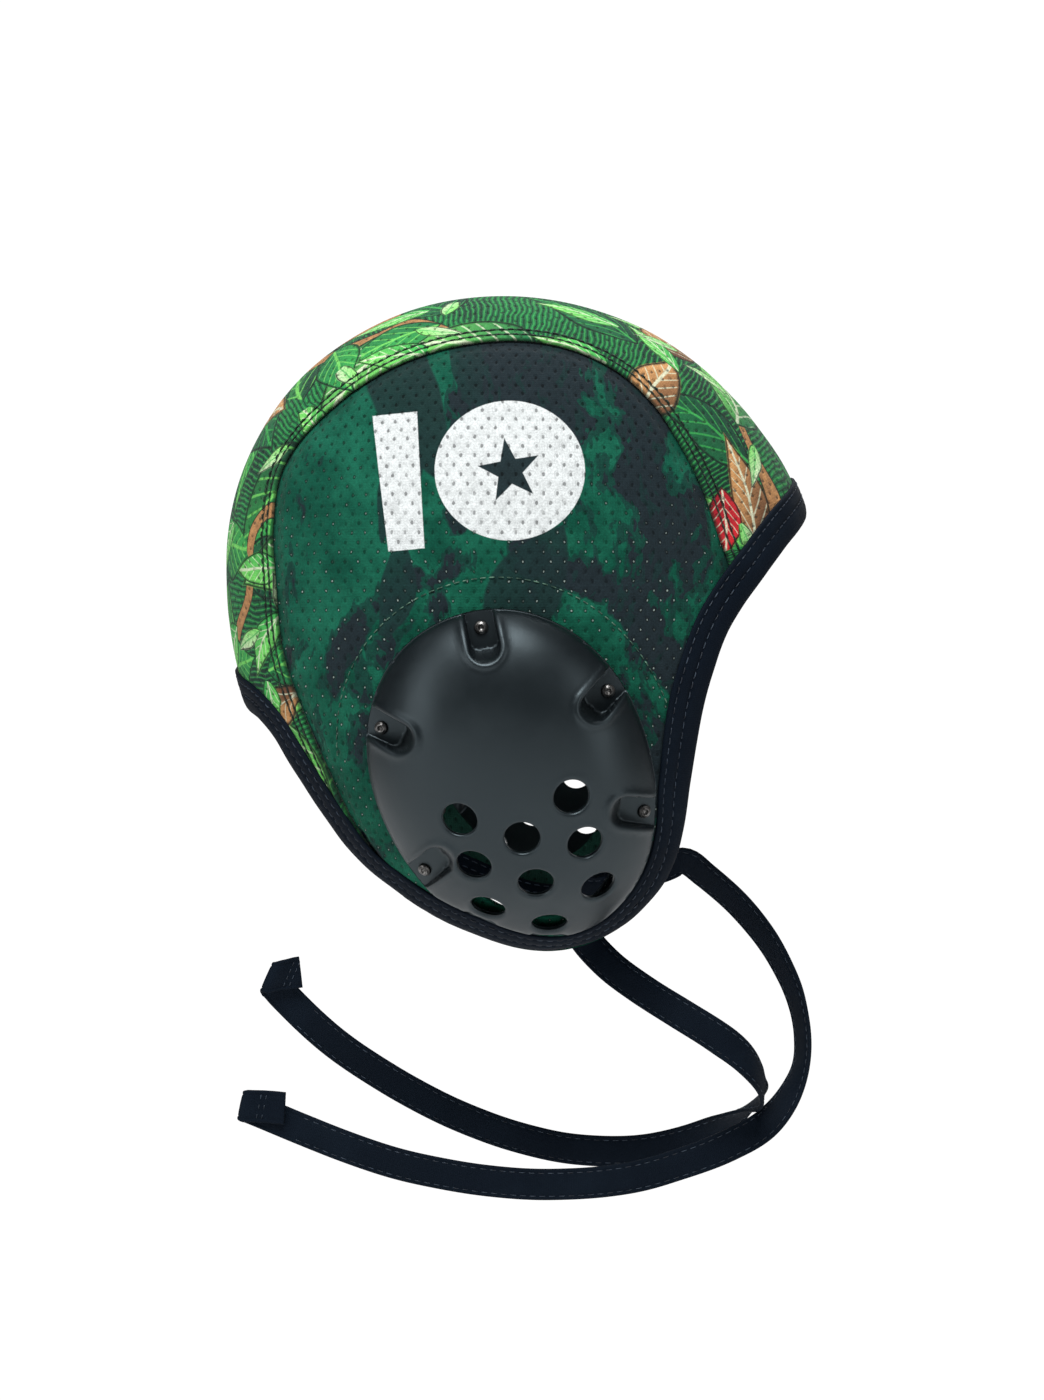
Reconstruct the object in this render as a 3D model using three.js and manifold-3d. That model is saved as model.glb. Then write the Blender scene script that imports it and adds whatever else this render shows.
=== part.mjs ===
// A water polo cap: cloth panels inside a bound edge, a moulded ear guard riveted over each ear hole, and two tape ties.
// Millimetres. +X is the forehead, -Y the wearer's right, +Z up. The origin is the inside of the crown, where it sits.
import * as THREE from "three";
import { mergeVertices } from "three/addons/utils/BufferGeometryUtils.js";
import Module from "manifold-3d";

const wasm = await Module();
wasm.setup();

// Driving sizes
const CLEARANCE = 0.3;
const FACET_SAG = 0.8; // most that a flat facet of the cloth lies inside its true curve
const SLIVER = 0.04; // facets narrower than this are merged into their neighbours
const CAP = {
  halfLength: 91, // ear axis to the front and back
  crownRise: 94, // ear axis to the top of the crown
  halfBreadth: 72, // middle plane to the outside over the ears
  cloth: 1.2,
};
const BINDING = { width: 11, tape: 1 };
const GUARD = {
  ahead: 2.9, // its middle, forward of the ear axis
  below: 49.2, // its middle, below the ear axis
  halfWidth: 41.2,
  halfHeight: 54,
  tilt: 20.5, // degrees that its long axis leans, the foot forward
  squareness: 2.06,
  taper: -0.06,
  wall: 2,
  depth: 15.5, // rise of the dome over the cloth
  lowering: 0.26, // share of that rise lost at the foot
  flatness: 3,
  lap: 10.5, // rim of the guard over the cloth round the ear hole
};
const VENT = { radius: 5.3, stepAhead: 4.1, stepDown: 14.5, rows: 3 };
const POCKET = { width: 9.4, length: 14.5, rimToRivet: 5.2 };
const RIVET = { head: 2.1, dome: 1.1, shank: 1.1, foot: 2.5, footHeight: 0.9, socket: 0.95 };
const TIE = { width: 10, tape: 1.5, reach: 100, drop: 75, sewn: 6, tabLength: 14, tabTape: 3.2 };

// Side profile round the ear axis: how far the cap reaches, in shares of its half length and crown rise, and how
// square its cross section is there. Turn is in degrees from the front, over the crown to the back and below.
const PROFILE = [
  { turn: -159, reach: 0.945, squareness: 2.3 },
  { turn: -137, reach: 0.965, squareness: 2.5 },
  { turn: -118, reach: 1.02, squareness: 2.8 },
  { turn: -98, reach: 1.105, squareness: 3.0 },
  { turn: -80, reach: 1.16, squareness: 3.0 },
  { turn: -60, reach: 1.115, squareness: 2.9 },
  { turn: -45, reach: 1.03, squareness: 2.7 },
  { turn: -30, reach: 1.0, squareness: 2.5 },
  { turn: -12, reach: 1.01, squareness: 2.4 },
  { turn: 2, reach: 1.03, squareness: 2.3 },
  { turn: 16, reach: 1.052, squareness: 2.2 },
  { turn: 35, reach: 1.026, squareness: 2.2 },
  { turn: 60, reach: 1.006, squareness: 2.2 },
  { turn: 90, reach: 1.0, squareness: 2.2 },
  { turn: 115, reach: 1.012, squareness: 2.2 },
  { turn: 140, reach: 1.01, squareness: 2.2 },
  { turn: 160, reach: 0.99, squareness: 2.2 },
  { turn: 180, reach: 0.955, squareness: 2.2 },
];

// Open edge of the cap, from the nape round the jaw and up the face to the forehead, in shares of the profile's reach
const EDGE = [
  { turn: -159, share: 1.0 },
  { turn: -156.5, share: 0.953 },
  { turn: -152.5, share: 0.924 },
  { turn: -147, share: 0.914 },
  { turn: -139, share: 0.913 },
  { turn: -130, share: 0.921 },
  { turn: -120, share: 0.934 },
  { turn: -110, share: 0.932 },
  { turn: -98, share: 0.938 },
  { turn: -86, share: 0.956 },
  { turn: -78, share: 0.962 },
  { turn: -69, share: 0.951 },
  { turn: -60, share: 0.917 },
  { turn: -50, share: 0.852 },
  { turn: -42, share: 0.788 },
  { turn: -34, share: 0.739 },
  { turn: -24, share: 0.699 },
  { turn: -14, share: 0.686 },
  { turn: -4, share: 0.703 },
  { turn: 3, share: 0.752 },
  { turn: 9, share: 0.828 },
  { turn: 13, share: 0.904 },
  { turn: 16, share: 1.0 },
];

// Seam between the crown panel and each side panel, from the temple over the head to below the nape
const SEAM = [
  { turn: 2, share: 0.728 },
  { turn: 10, share: 0.718 },
  { turn: 20, share: 0.706 },
  { turn: 34, share: 0.742 },
  { turn: 44, share: 0.774 },
  { turn: 55, share: 0.82 },
  { turn: 66, share: 0.853 },
  { turn: 82, share: 0.87 },
  { turn: 110, share: 0.859 },
  { turn: 130, share: 0.86 },
  { turn: 148, share: 0.869 },
  { turn: 160, share: 0.83 },
  { turn: 172, share: 0.797 },
  { turn: 190, share: 0.792 },
  { turn: 205, share: 0.786 },
  { turn: 219, share: 0.807 },
  { turn: 230, share: 0.847 },
  { turn: 240, share: 0.889 },
  { turn: 246, share: 0.93 },
];

// Top vent of each column in the guard, in shares of its half width and half height from its middle
const VENT_COLUMNS = [
  { ahead: -0.405, up: -0.16 },
  { ahead: 0.044, up: -0.262 },
  { ahead: 0.398, up: -0.028 },
];

// Rivet pockets round the rim of the guard, by their turn round its middle
const POCKETS = [{ turn: 102 }, { turn: 47 }, { turn: -12 }, { turn: 156 }, { turn: -136 }];

// Free run of each tie from where it is sewn: ahead in shares of the reach, out from the middle plane toward its own
// side in shares of the half breadth, down in shares of the drop, and roll, 0 with its face to the side and 90 edge on
const TIE_ROOT_TURN = -77;
// Its sewn end: in from the open edge and away from the binding, in shares of the sewn length
const SEWN_RUN = [
  { inward: 1, away: 0.12 },
  { inward: 0.5, away: 0.04 },
  { inward: 0, away: 0.06 },
  { inward: -0.6, away: 0.4 },
  { inward: -1.2, away: 0.7 },
];
const NEAR_RUN = [
  { ahead: 0.015, out: 0.23, down: 0.03, roll: 0 },
  { ahead: 0.085, out: 0.29, down: 0.125, roll: 0 },
  { ahead: 0.18, out: 0.4, down: 0.205, roll: 0 },
  { ahead: 0.3, out: 0.54, down: 0.285, roll: 0 },
  { ahead: 0.41, out: 0.56, down: 0.375, roll: 5 },
  { ahead: 0.494, out: 0.53, down: 0.465, roll: 35 },
  { ahead: 0.545, out: 0.46, down: 0.56, roll: 62 },
  { ahead: 0.565, out: 0.33, down: 0.655, roll: 82 },
  { ahead: 0.54, out: 0.1, down: 0.75, roll: 70 },
  { ahead: 0.46, out: -0.01, down: 0.855, roll: 35 },
  { ahead: 0.344, out: -0.07, down: 0.94, roll: 10 },
  { ahead: 0.19, out: -0.09, down: 0.99, roll: 0 },
  { ahead: -0.02, out: -0.09, down: 0.985, roll: 0 },
  { ahead: -0.2, out: -0.08, down: 0.93, roll: 0 },
  { ahead: -0.395, out: -0.05, down: 0.825, roll: 0 },
  { ahead: -0.585, out: 0.0, down: 0.68, roll: 0 },
  { ahead: -0.775, out: 0.09, down: 0.487, roll: 0 },
  { ahead: -0.918, out: 0.16, down: 0.29, roll: 0 },
  { ahead: -0.966, out: 0.19, down: 0.21, roll: 0 },
];
const FAR_RUN = [
  { ahead: 0.08, out: 0.23, down: -0.1, roll: 0 },
  { ahead: 0.19, out: 0.25, down: -0.16, roll: 0 },
  { ahead: 0.275, out: 0.29, down: -0.195, roll: 10 },
  { ahead: 0.34, out: 0.31, down: -0.215, roll: 25 },
  { ahead: 0.4, out: 0.32, down: -0.16, roll: 30 },
  { ahead: 0.53, out: 0.32, down: 0.0, roll: 35 },
  { ahead: 0.623, out: 0.265, down: 0.165, roll: 45 },
  { ahead: 0.683, out: 0.18, down: 0.325, roll: 55 },
  { ahead: 0.707, out: 0.07, down: 0.48, roll: 65 },
  { ahead: 0.686, out: -0.07, down: 0.63, roll: 66 },
  { ahead: 0.585, out: -0.24, down: 0.8, roll: 35 },
  { ahead: 0.467, out: -0.28, down: 0.887, roll: 12 },
  { ahead: 0.307, out: -0.31, down: 0.964, roll: 0 },
  { ahead: 0.152, out: -0.32, down: 1.02, roll: 0 },
  { ahead: -0.075, out: -0.325, down: 1.045, roll: 0 },
  { ahead: -0.295, out: -0.32, down: 1.03, roll: 0 },
  { ahead: -0.55, out: -0.3, down: 0.97, roll: 0 },
  { ahead: -0.74, out: -0.28, down: 0.89, roll: 0 },
  { ahead: -1.04, out: -0.236, down: 0.735, roll: 0 },
];

// How finely the round forms are faceted
const FACETS = { turns: 32, leans: 16, edge: 24, seam: 20, guard: 22, rings: 4, vent: 8, bore: 6, rivet: 6, tie: 32 };

const LOOKS = {
  crown: { color: 0x2f9a3c, roughness: 0.85, metalness: 0 },
  side: { color: 0x0c4a2c, roughness: 0.85, metalness: 0 },
  tape: { color: 0x0b1220, roughness: 0.8, metalness: 0 },
  guard: { color: 0x2b2e33, roughness: 0.45, metalness: 0 },
  rivet: { color: 0x6b6f75, roughness: 0.35, metalness: 0.9 },
};
const materials = Object.fromEntries(
  Object.entries(LOOKS).map(([name, look]) => [name, new THREE.MeshStandardMaterial({ ...look })]),
);

// Where the ear axis runs below the origin
const EAR_AXIS_Z = CAP.cloth - CAP.crownRise;
// The guard's seat above the cloth, then its floor
const GUARD_SEAT = 1.5 * CLEARANCE;
const FLOOR_LIFT = GUARD_SEAT + GUARD.wall;
const FAR_AWAY = 3 * CAP.halfLength;

const radians = THREE.MathUtils.degToRad;
const degrees = THREE.MathUtils.radToDeg;
const lerp = THREE.MathUtils.lerp;

// Reads a column of a table at a turn, by a smooth curve through its rows; a period makes it run round
function read(rows, column, at, key = "turn", period = 0) {
  const count = rows.length;
  const first = rows[0][key];
  const turn = period ? first + ((((at - first) % period) + period) % period) : at;
  const row = (i) => {
    const wrapped = period ? ((i % count) + count) % count : Math.min(Math.max(i, 0), count - 1);
    return { at: rows[wrapped][key] + (period ? Math.floor(i / count) * period : 0), value: rows[wrapped][column] };
  };
  let i = 0;
  while (i < count - (period ? 1 : 2) && row(i + 1).at <= turn) i += 1;
  const [before, start, end, after] = [row(i - 1), row(i), row(i + 1), row(i + 2)];
  const span = end.at - start.at;
  const t = Math.min(Math.max((turn - start.at) / span, 0), 1);
  const slope = (a, b) => (b.at > a.at ? (b.value - a.value) / (b.at - a.at) : 0);
  const startSlope = slope(before, end) * span;
  const endSlope = slope(start, after) * span;
  const t2 = t * t;
  const t3 = t2 * t;
  return (
    (2 * t3 - 3 * t2 + 1) * start.value +
    (t3 - 2 * t2 + t) * startSlope +
    (3 * t2 - 2 * t3) * end.value +
    (t3 - t2) * endSlope
  );
}

const reachAt = (turn) => read(PROFILE, "reach", turn, "turn", 360);
const squarenessAt = (turn) => read(PROFILE, "squareness", turn, "turn", 360);

// A point of the side view, by its turn round the ear axis and its share of the profile's reach
function sidePoint(turn, share) {
  const reach = share * reachAt(turn);
  const angle = radians(turn);
  return new THREE.Vector2(
    CAP.halfLength * reach * Math.cos(angle),
    EAR_AXIS_Z + CAP.crownRise * reach * Math.sin(angle),
  );
}

function sidePolar(x, z) {
  const across = x / CAP.halfLength;
  const up = (z - EAR_AXIS_Z) / CAP.crownRise;
  const turn = degrees(Math.atan2(up, across));
  return { turn, share: Math.hypot(across, up) / reachAt(turn) };
}

// Half breadth of the cap's outside at a point of the side view
function breadthAt(x, z) {
  const { turn, share } = sidePolar(x, z);
  const power = squarenessAt(turn);
  return CAP.halfBreadth * Math.max(1 - share ** power, 0) ** (1 / power);
}

// A point of the outside: lean is 0 at the middle plane and 90 degrees over the ear, toward the wearer's right
function surfacePoint(turn, lean) {
  const power = 2 / squarenessAt(turn);
  const angle = radians(lean);
  const side = sidePoint(turn, Math.max(Math.cos(angle), 0) ** power);
  const out = Math.abs(Math.sin(angle)) ** power;
  return new THREE.Vector3(side.x, -Math.sign(angle) * CAP.halfBreadth * out, side.y);
}

function surfaceNormal(turn, lean) {
  if (Math.abs(lean) > 89) return new THREE.Vector3(0, -Math.sign(lean), 0);
  const step = 0.5;
  const round = surfacePoint(turn + step, lean).sub(surfacePoint(turn - step, lean));
  const over = surfacePoint(turn, lean + step).sub(surfacePoint(turn, lean - step));
  return round.cross(over).normalize();
}

// Turn and lean of a point near the outside, found by drawing it to the surface along its line from the ear axis
function surfacePlace(point) {
  const { turn, share } = sidePolar(point.x, point.z);
  const power = squarenessAt(turn);
  const out = Math.abs(point.y) / CAP.halfBreadth;
  const scale = (share ** power + out ** power) ** (-1 / power);
  const lean = degrees(Math.asin(Math.min(out * scale, 1) ** (power / 2)));
  return { turn, lean: point.y > 0 ? -lean : lean };
}

const liftedPoint = ({ turn, lean }, lift) =>
  surfacePoint(turn, lean).addScaledVector(surfaceNormal(turn, lean), lift);

// Solids from closed geometry, and back
function solidOf(geometry) {
  const bare = geometry.clone();
  bare.deleteAttribute("normal");
  bare.deleteAttribute("uv");
  const merged = mergeVertices(bare, 1e-4);
  return new wasm.Manifold(
    new wasm.Mesh({
      numProp: 3,
      vertProperties: new Float32Array(merged.attributes.position.array),
      triVerts: new Uint32Array(merged.index.array),
    }),
  );
}

function geometryOf(solid) {
  const mesh = solid.simplify(SLIVER).getMesh();
  const geometry = new THREE.BufferGeometry();
  geometry.setAttribute("position", new THREE.BufferAttribute(new Float32Array(mesh.vertProperties), 3));
  geometry.setIndex(new THREE.BufferAttribute(new Uint32Array(mesh.triVerts), 1));
  geometry.computeVertexNormals();
  return geometry;
}

function indexedGeometry(points, faces) {
  const geometry = new THREE.BufferGeometry().setFromPoints(points);
  geometry.setIndex(faces.flat());
  return geometry;
}

function namedMesh(name, geometry, material) {
  const mesh = new THREE.Mesh(geometry, material);
  mesh.name = name;
  return mesh;
}

// The whole closed head form, its surface lifted out from the cap's outside, or in where the lift is negative
function headForm(lift) {
  const { turns, leans } = FACETS;
  const leanOf = (row) => {
    const share = (2 * row) / leans - 1;
    return 90 * share * (0.75 + 0.25 * share ** 2);
  };
  const poles = [-90, 90].map((lean) => liftedPoint({ turn: 0, lean }, lift));
  const points = [...poles];
  for (let row = 1; row < leans; row += 1) {
    for (let i = 0; i < turns; i += 1) {
      points.push(liftedPoint({ turn: (360 * i) / turns, lean: leanOf(row) }, lift));
    }
  }
  const at = (row, i) => 2 + (row - 1) * turns + (i % turns);
  const faces = [];
  for (let i = 0; i < turns; i += 1) {
    faces.push([0, at(1, i + 1), at(1, i)], [1, at(leans - 1, i), at(leans - 1, i + 1)]);
    for (let row = 1; row < leans - 1; row += 1) {
      const [a, b] = [at(row, i), at(row + 1, i + 1)];
      faces.push([a, b, at(row + 1, i)], [a, at(row, i + 1), b]);
    }
  }
  return solidOf(indexedGeometry(points, faces));
}

// A prism along Y over an outline of the side view, between two distances toward the wearer's right
function sidePrism(outline, from = -FAR_AWAY, to = FAR_AWAY) {
  const shape = new THREE.Shape(outline);
  const geometry = new THREE.ExtrudeGeometry(shape, { depth: to - from, bevelEnabled: false, curveSegments: 1 });
  geometry.rotateX(Math.PI / 2).translate(0, -from, 0);
  return solidOf(geometry);
}

// The place on the open edge at a turn
function edgePlace(turn) {
  const share = Math.min(read(EDGE, "share", turn), 1);
  return { turn, lean: degrees(Math.acos(share ** (squarenessAt(turn) / 2))) };
}

// The place at a distance in from the open edge, square to it along the cap's outside; out where it is negative
function placeFromEdge(turn, distance) {
  const step = 0.6;
  const [nape, forehead] = [EDGE[0].turn, EDGE[EDGE.length - 1].turn];
  const point = ({ turn: at, lean }) => surfacePoint(at, lean);
  const mirrored = (at) => point(edgePlace(at)).setY(-point(edgePlace(at)).y);
  const before = turn - step < nape ? mirrored(nape + step) : point(edgePlace(turn - step));
  const after = turn + step > forehead ? mirrored(forehead - step) : point(edgePlace(turn + step));
  const place = edgePlace(turn);
  const along = after.sub(before).normalize();
  const inward = surfaceNormal(place.turn, place.lean).cross(along).normalize();
  return surfacePlace(point(place).addScaledVector(inward, distance));
}

// The line on the cap's outside at a distance from its open edge, from the nape to the forehead, with its places
// close together where it crosses the middle plane
function lineFromEdge(distance) {
  const [nape, forehead] = [EDGE[0].turn, EDGE[EDGE.length - 1].turn];
  return Array.from({ length: FACETS.edge + 1 }, (_, i) => {
    const turn = lerp(nape, forehead, (1 - Math.cos((Math.PI * i) / FACETS.edge)) / 2);
    return placeFromEdge(turn, distance);
  });
}

// Everything beyond that line, as a prism: the face, the neck and the space round them
function openingPrism(distance) {
  const line = lineFromEdge(distance).map(({ turn, lean }) => {
    const share = Math.cos(radians(lean)) ** (2 / squarenessAt(turn));
    return { turn, share };
  });
  const [nape, forehead] = [line[0].turn, line[line.length - 1].turn];
  const start = nape > 0 ? nape - 360 : nape;
  const corners = 8;
  const round = Array.from({ length: corners + 1 }, (_, i) => lerp(forehead, start, i / corners));
  const outline = line.map(({ turn, share }) => sidePoint(turn, share));
  const beyond = round.map((turn) => sidePoint(turn, FAR_AWAY / CAP.halfLength));
  return sidePrism([...outline, ...beyond]);
}

// Outline of a side panel where the seam bounds it, moved outward by a margin; it runs past the open edge elsewhere
function seamPrism(margin) {
  const [front, foot] = [SEAM[0].turn, SEAM[SEAM.length - 1].turn];
  const outline = Array.from({ length: FACETS.seam + 1 }, (_, i) => {
    const turn = lerp(front, foot, i / FACETS.seam);
    const line = sidePoint(turn, read(SEAM, "share", turn));
    const away = line.clone().sub(new THREE.Vector2(0, EAR_AXIS_Z)).normalize();
    return line.addScaledVector(away, margin);
  });
  const away = (turn) => sidePoint(turn, FAR_AWAY / CAP.halfLength);
  const steps = 4;
  const round = Array.from({ length: steps + 1 }, (_, i) => away(lerp(foot, front + 360, i / steps)));
  return sidePrism([...outline, ...round]);
}

const head = { outside: headForm(0), inside: headForm(-CAP.cloth) };
const opening = openingPrism(0);
const cloth = head.outside.subtract(head.inside).subtract(opening);
const rightHalf = sidePrism(
  [
    new THREE.Vector2(-FAR_AWAY, -FAR_AWAY),
    new THREE.Vector2(FAR_AWAY, -FAR_AWAY),
    new THREE.Vector2(FAR_AWAY, FAR_AWAY),
    new THREE.Vector2(-FAR_AWAY, FAR_AWAY),
  ],
  0,
);

// Crown panel, from the forehead over the head to the nape and down behind each ear
function crownPanel() {
  return cloth.subtract(seamPrism(CLEARANCE / 2));
}

// Folded tape round the whole open edge: one leg outside the cloth, one inside, joined past the edge
function edgeBinding() {
  const { width, tape } = BINDING;
  const inner = CAP.cloth + CLEARANCE;
  const band = headForm(CLEARANCE + tape)
    .subtract(headForm(-inner - tape))
    .intersect(openingPrism(width))
    .subtract(openingPrism(-CLEARANCE - tape));
  const channel = headForm(CLEARANCE).subtract(headForm(-inner)).subtract(openingPrism(-CLEARANCE));
  return band.subtract(channel);
}

// Outline of the guard in the side view, drawn in by an inset
function guardOutlinePoint(turn, inset = 0, share = 1) {
  const wide = GUARD.halfWidth - inset;
  const tall = GUARD.halfHeight - inset;
  const tilt = radians(GUARD.tilt);
  const angle = radians(turn) - tilt;
  const power = GUARD.squareness;
  const [c, s] = [Math.cos(angle), Math.sin(angle)];
  const width = wide * (1 - GUARD.taper * s);
  const radius = share / (Math.abs(c / width) ** power + Math.abs(s / tall) ** power) ** (1 / power);
  return new THREE.Vector2(
    GUARD.ahead + radius * Math.cos(angle + tilt),
    EAR_AXIS_Z - GUARD.below + radius * Math.sin(angle + tilt),
  );
}

const guardOutline = (inset) =>
  Array.from({ length: FACETS.guard }, (_, i) => guardOutlinePoint((360 * i) / FACETS.guard, inset));

// How much longer a lift square to the cloth is when it is measured along Y
function sideStretch(x, z) {
  const place = surfacePlace(new THREE.Vector3(x, -breadthAt(x, z), z));
  return 1 / Math.max(Math.abs(surfaceNormal(place.turn, place.lean).y), 0.3);
}

// Rise of the guard's dome over its floor; a wall drawn in makes the hollow's rise
function domeRise(x, z, share) {
  const down = (EAR_AXIS_Z - GUARD.below - z) / GUARD.halfHeight;
  const fullness = Math.sqrt(Math.max(1 - share ** GUARD.flatness, 0));
  return GUARD.depth * fullness * (1 - GUARD.lowering * (1 + down) * Math.max(down + 1, 0) * 0.5);
}

// A solid over the guard's outline between two heights, each given along Y over the cloth
function guardSlab(inset, bottom, top) {
  const { guard: around, rings } = FACETS;
  const shares = Array.from({ length: rings }, (_, i) => Math.sin((Math.PI / 2) * ((i + 1) / rings)));
  const middle = guardOutlinePoint(0, inset, 0);
  const raise = (flat, height, share) =>
    new THREE.Vector3(flat.x, -breadthAt(flat.x, flat.y) - height(flat.x, flat.y, share), flat.y);
  const layers = [bottom, top].map((height) => [
    raise(middle, height, 0),
    ...shares.flatMap((share) =>
      Array.from({ length: around }, (_, i) =>
        raise(guardOutlinePoint((360 * i) / around, inset, share), height, share),
      ),
    ),
  ]);
  const points = layers.flat();
  const size = layers[0].length;
  const at = (layer, ring, i) => layer * size + 1 + ring * around + (i % around);
  const faces = [];
  for (let i = 0; i < around; i += 1) {
    faces.push([0, at(0, 0, i + 1), at(0, 0, i)], [size, at(1, 0, i), at(1, 0, i + 1)]);
    for (let ring = 0; ring < rings - 1; ring += 1) {
      const corners = (layer) => [
        at(layer, ring, i),
        at(layer, ring + 1, i),
        at(layer, ring + 1, i + 1),
        at(layer, ring, i + 1),
      ];
      const [a, b, c, d] = corners(0);
      const [e, f, g, h] = corners(1);
      faces.push([a, c, b], [a, d, c], [e, f, g], [e, g, h]);
    }
    const [low, lowNext] = [at(0, rings - 1, i), at(0, rings - 1, i + 1)];
    const [high, highNext] = [at(1, rings - 1, i), at(1, rings - 1, i + 1)];
    faces.push([low, highNext, high], [low, lowNext, highNext]);
  }
  return solidOf(indexedGeometry(points, faces));
}

// How far along a way out from the guard's middle the clear inner border of the binding lies
function bindingReach(middle, outward) {
  const line = lineFromEdge(BINDING.width + CLEARANCE).map(({ turn, lean }) => {
    const share = Math.cos(radians(lean)) ** (2 / squarenessAt(turn));
    return sidePoint(turn, share).sub(middle);
  });
  const crossings = line.slice(1).map((end, i) => {
    const start = line[i];
    const [before, after] = [outward.cross(start), outward.cross(end)];
    if (before * after > 0 || before === after) return Infinity;
    const reach = lerp(outward.dot(start), outward.dot(end), before / (before - after));
    return reach > 0 ? reach : Infinity;
  });
  return Math.min(...crossings);
}

// Middle line of a rivet pocket: where its rivet sits, and the way out to the rim. The rivet's foot keeps clear of
// the binding.
function pocketPlace({ turn }) {
  const outline = guardOutlinePoint(turn);
  const middle = new THREE.Vector2(GUARD.ahead, EAR_AXIS_Z - GUARD.below);
  const outward = outline.clone().sub(middle).normalize();
  const most = bindingReach(middle, outward) - RIVET.foot + POCKET.rimToRivet;
  const over = Math.max(outline.distanceTo(middle) - most, 0);
  const rim = outline.addScaledVector(outward, -over);
  return { rivet: rim.clone().addScaledVector(outward, -POCKET.rimToRivet), rim, outward };
}

// Prism over a pocket: straight sides open past the rim and a round inner end, all moved out by a margin
function pocketPrism(pocket, margin) {
  const { rim, outward } = pocketPlace(pocket);
  const half = POCKET.width / 2;
  const across = new THREE.Vector2(-outward.y, outward.x);
  const point = (along, side) =>
    rim.clone().addScaledVector(outward, along).addScaledVector(across, side);
  const endSteps = 4;
  const end = Array.from({ length: endSteps + 1 }, (_, i) => {
    const angle = Math.PI * (i / endSteps);
    const round = half + margin;
    return point(half - POCKET.length - round * Math.sin(angle), round * Math.cos(angle));
  });
  const mouth = POCKET.length;
  return sidePrism([point(mouth, half + margin), ...end, point(mouth, -half - margin)], 0);
}

// A turned form along an axis that starts at a point
function placement(point, axis) {
  const turn = new THREE.Quaternion().setFromUnitVectors(new THREE.Vector3(0, 1, 0), axis);
  return new THREE.Matrix4().compose(point, turn, new THREE.Vector3(1, 1, 1));
}

function drill(radius, point, axis, reach, sides) {
  const geometry = new THREE.CylinderGeometry(radius, radius, 2 * reach, sides);
  return solidOf(geometry.applyMatrix4(placement(point, axis)));
}

// Outside of the guard at a point of the side view, with its share of the way to the rim
function guardSkin(flat) {
  const middle = guardOutlinePoint(0, 0, 0);
  const turn = degrees(Math.atan2(flat.y - middle.y, flat.x - middle.x));
  const share = flat.distanceTo(middle) / guardOutlinePoint(turn).distanceTo(middle);
  const height = FLOOR_LIFT * sideStretch(flat.x, flat.y) + domeRise(flat.x, flat.y, share);
  return new THREE.Vector3(flat.x, -breadthAt(flat.x, flat.y) - height, flat.y);
}

function guardAxis(flat) {
  const step = 1;
  const moved = (dx, dz) => guardSkin(new THREE.Vector2(flat.x + dx, flat.y + dz));
  const ahead = moved(step, 0).sub(moved(-step, 0));
  const up = moved(0, step).sub(moved(0, -step));
  return ahead.cross(up).normalize();
}

function ventPlaces() {
  return VENT_COLUMNS.flatMap(({ ahead, up }) =>
    Array.from({ length: VENT.rows }, (_, row) =>
      new THREE.Vector2(
        GUARD.ahead + ahead * GUARD.halfWidth + row * VENT.stepAhead,
        EAR_AXIS_Z - GUARD.below + up * GUARD.halfHeight - row * VENT.stepDown,
      ),
    ),
  );
}

// Where each rivet passes through: on the cloth's outside, square to it
function rivetPlaces() {
  return POCKETS.map((pocket) => {
    const { rivet } = pocketPlace(pocket);
    const place = surfacePlace(new THREE.Vector3(rivet.x, -breadthAt(rivet.x, rivet.y), rivet.y));
    return { point: surfacePoint(place.turn, place.lean), axis: surfaceNormal(place.turn, place.lean) };
  });
}

const rivetBores = () =>
  rivetPlaces().map(({ point, axis }) =>
    drill(RIVET.shank + 1.3 * CLEARANCE, point, axis, 2 * (FLOOR_LIFT + CAP.cloth), FACETS.bore),
  );

// Right side panel, with the ear hole and the rivet holes round it
function sidePanel() {
  const earHole = sidePrism(guardOutline(GUARD.lap), 0);
  return rivetBores().reduce(
    (panel, bore) => panel.subtract(bore),
    cloth.intersect(seamPrism(-CLEARANCE / 2)).intersect(rightHalf).subtract(earHole),
  );
}

// Right ear guard: a hollow dome on the cloth, with vents, and pockets whose floors take the rivets
function earGuard() {
  const onCloth = (lift) => (x, z) => lift * sideStretch(x, z);
  const dome = (lift) => (x, z, share) => lift * sideStretch(x, z) + domeRise(x, z, share);
  const shell = guardSlab(0, onCloth(GUARD_SEAT), dome(FLOOR_LIFT));
  const hollow = guardSlab(GUARD.wall, onCloth(-2 * CAP.cloth), dome(GUARD_SEAT));
  const overFloor = guardSlab(-POCKET.length, onCloth(FLOOR_LIFT), () => 2 * GUARD.depth);
  const cuts = POCKETS.map((pocket) => pocketPrism(pocket, 0).intersect(overFloor));
  const housings = POCKETS.map((pocket) => pocketPrism(pocket, GUARD.wall));
  const openShell = cuts.reduce((solid, cut) => solid.subtract(cut), shell);
  const openHollow = housings.reduce((solid, housing) => solid.subtract(housing), hollow);
  const vents = ventPlaces().map((flat) =>
    drill(VENT.radius, guardSkin(flat), guardAxis(flat), 4 * GUARD.wall, FACETS.vent),
  );
  return [...vents, ...rivetBores(), openingPrism(BINDING.width + CLEARANCE)].reduce(
    (solid, cut) => solid.subtract(cut),
    openShell.subtract(openHollow),
  );
}

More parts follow.
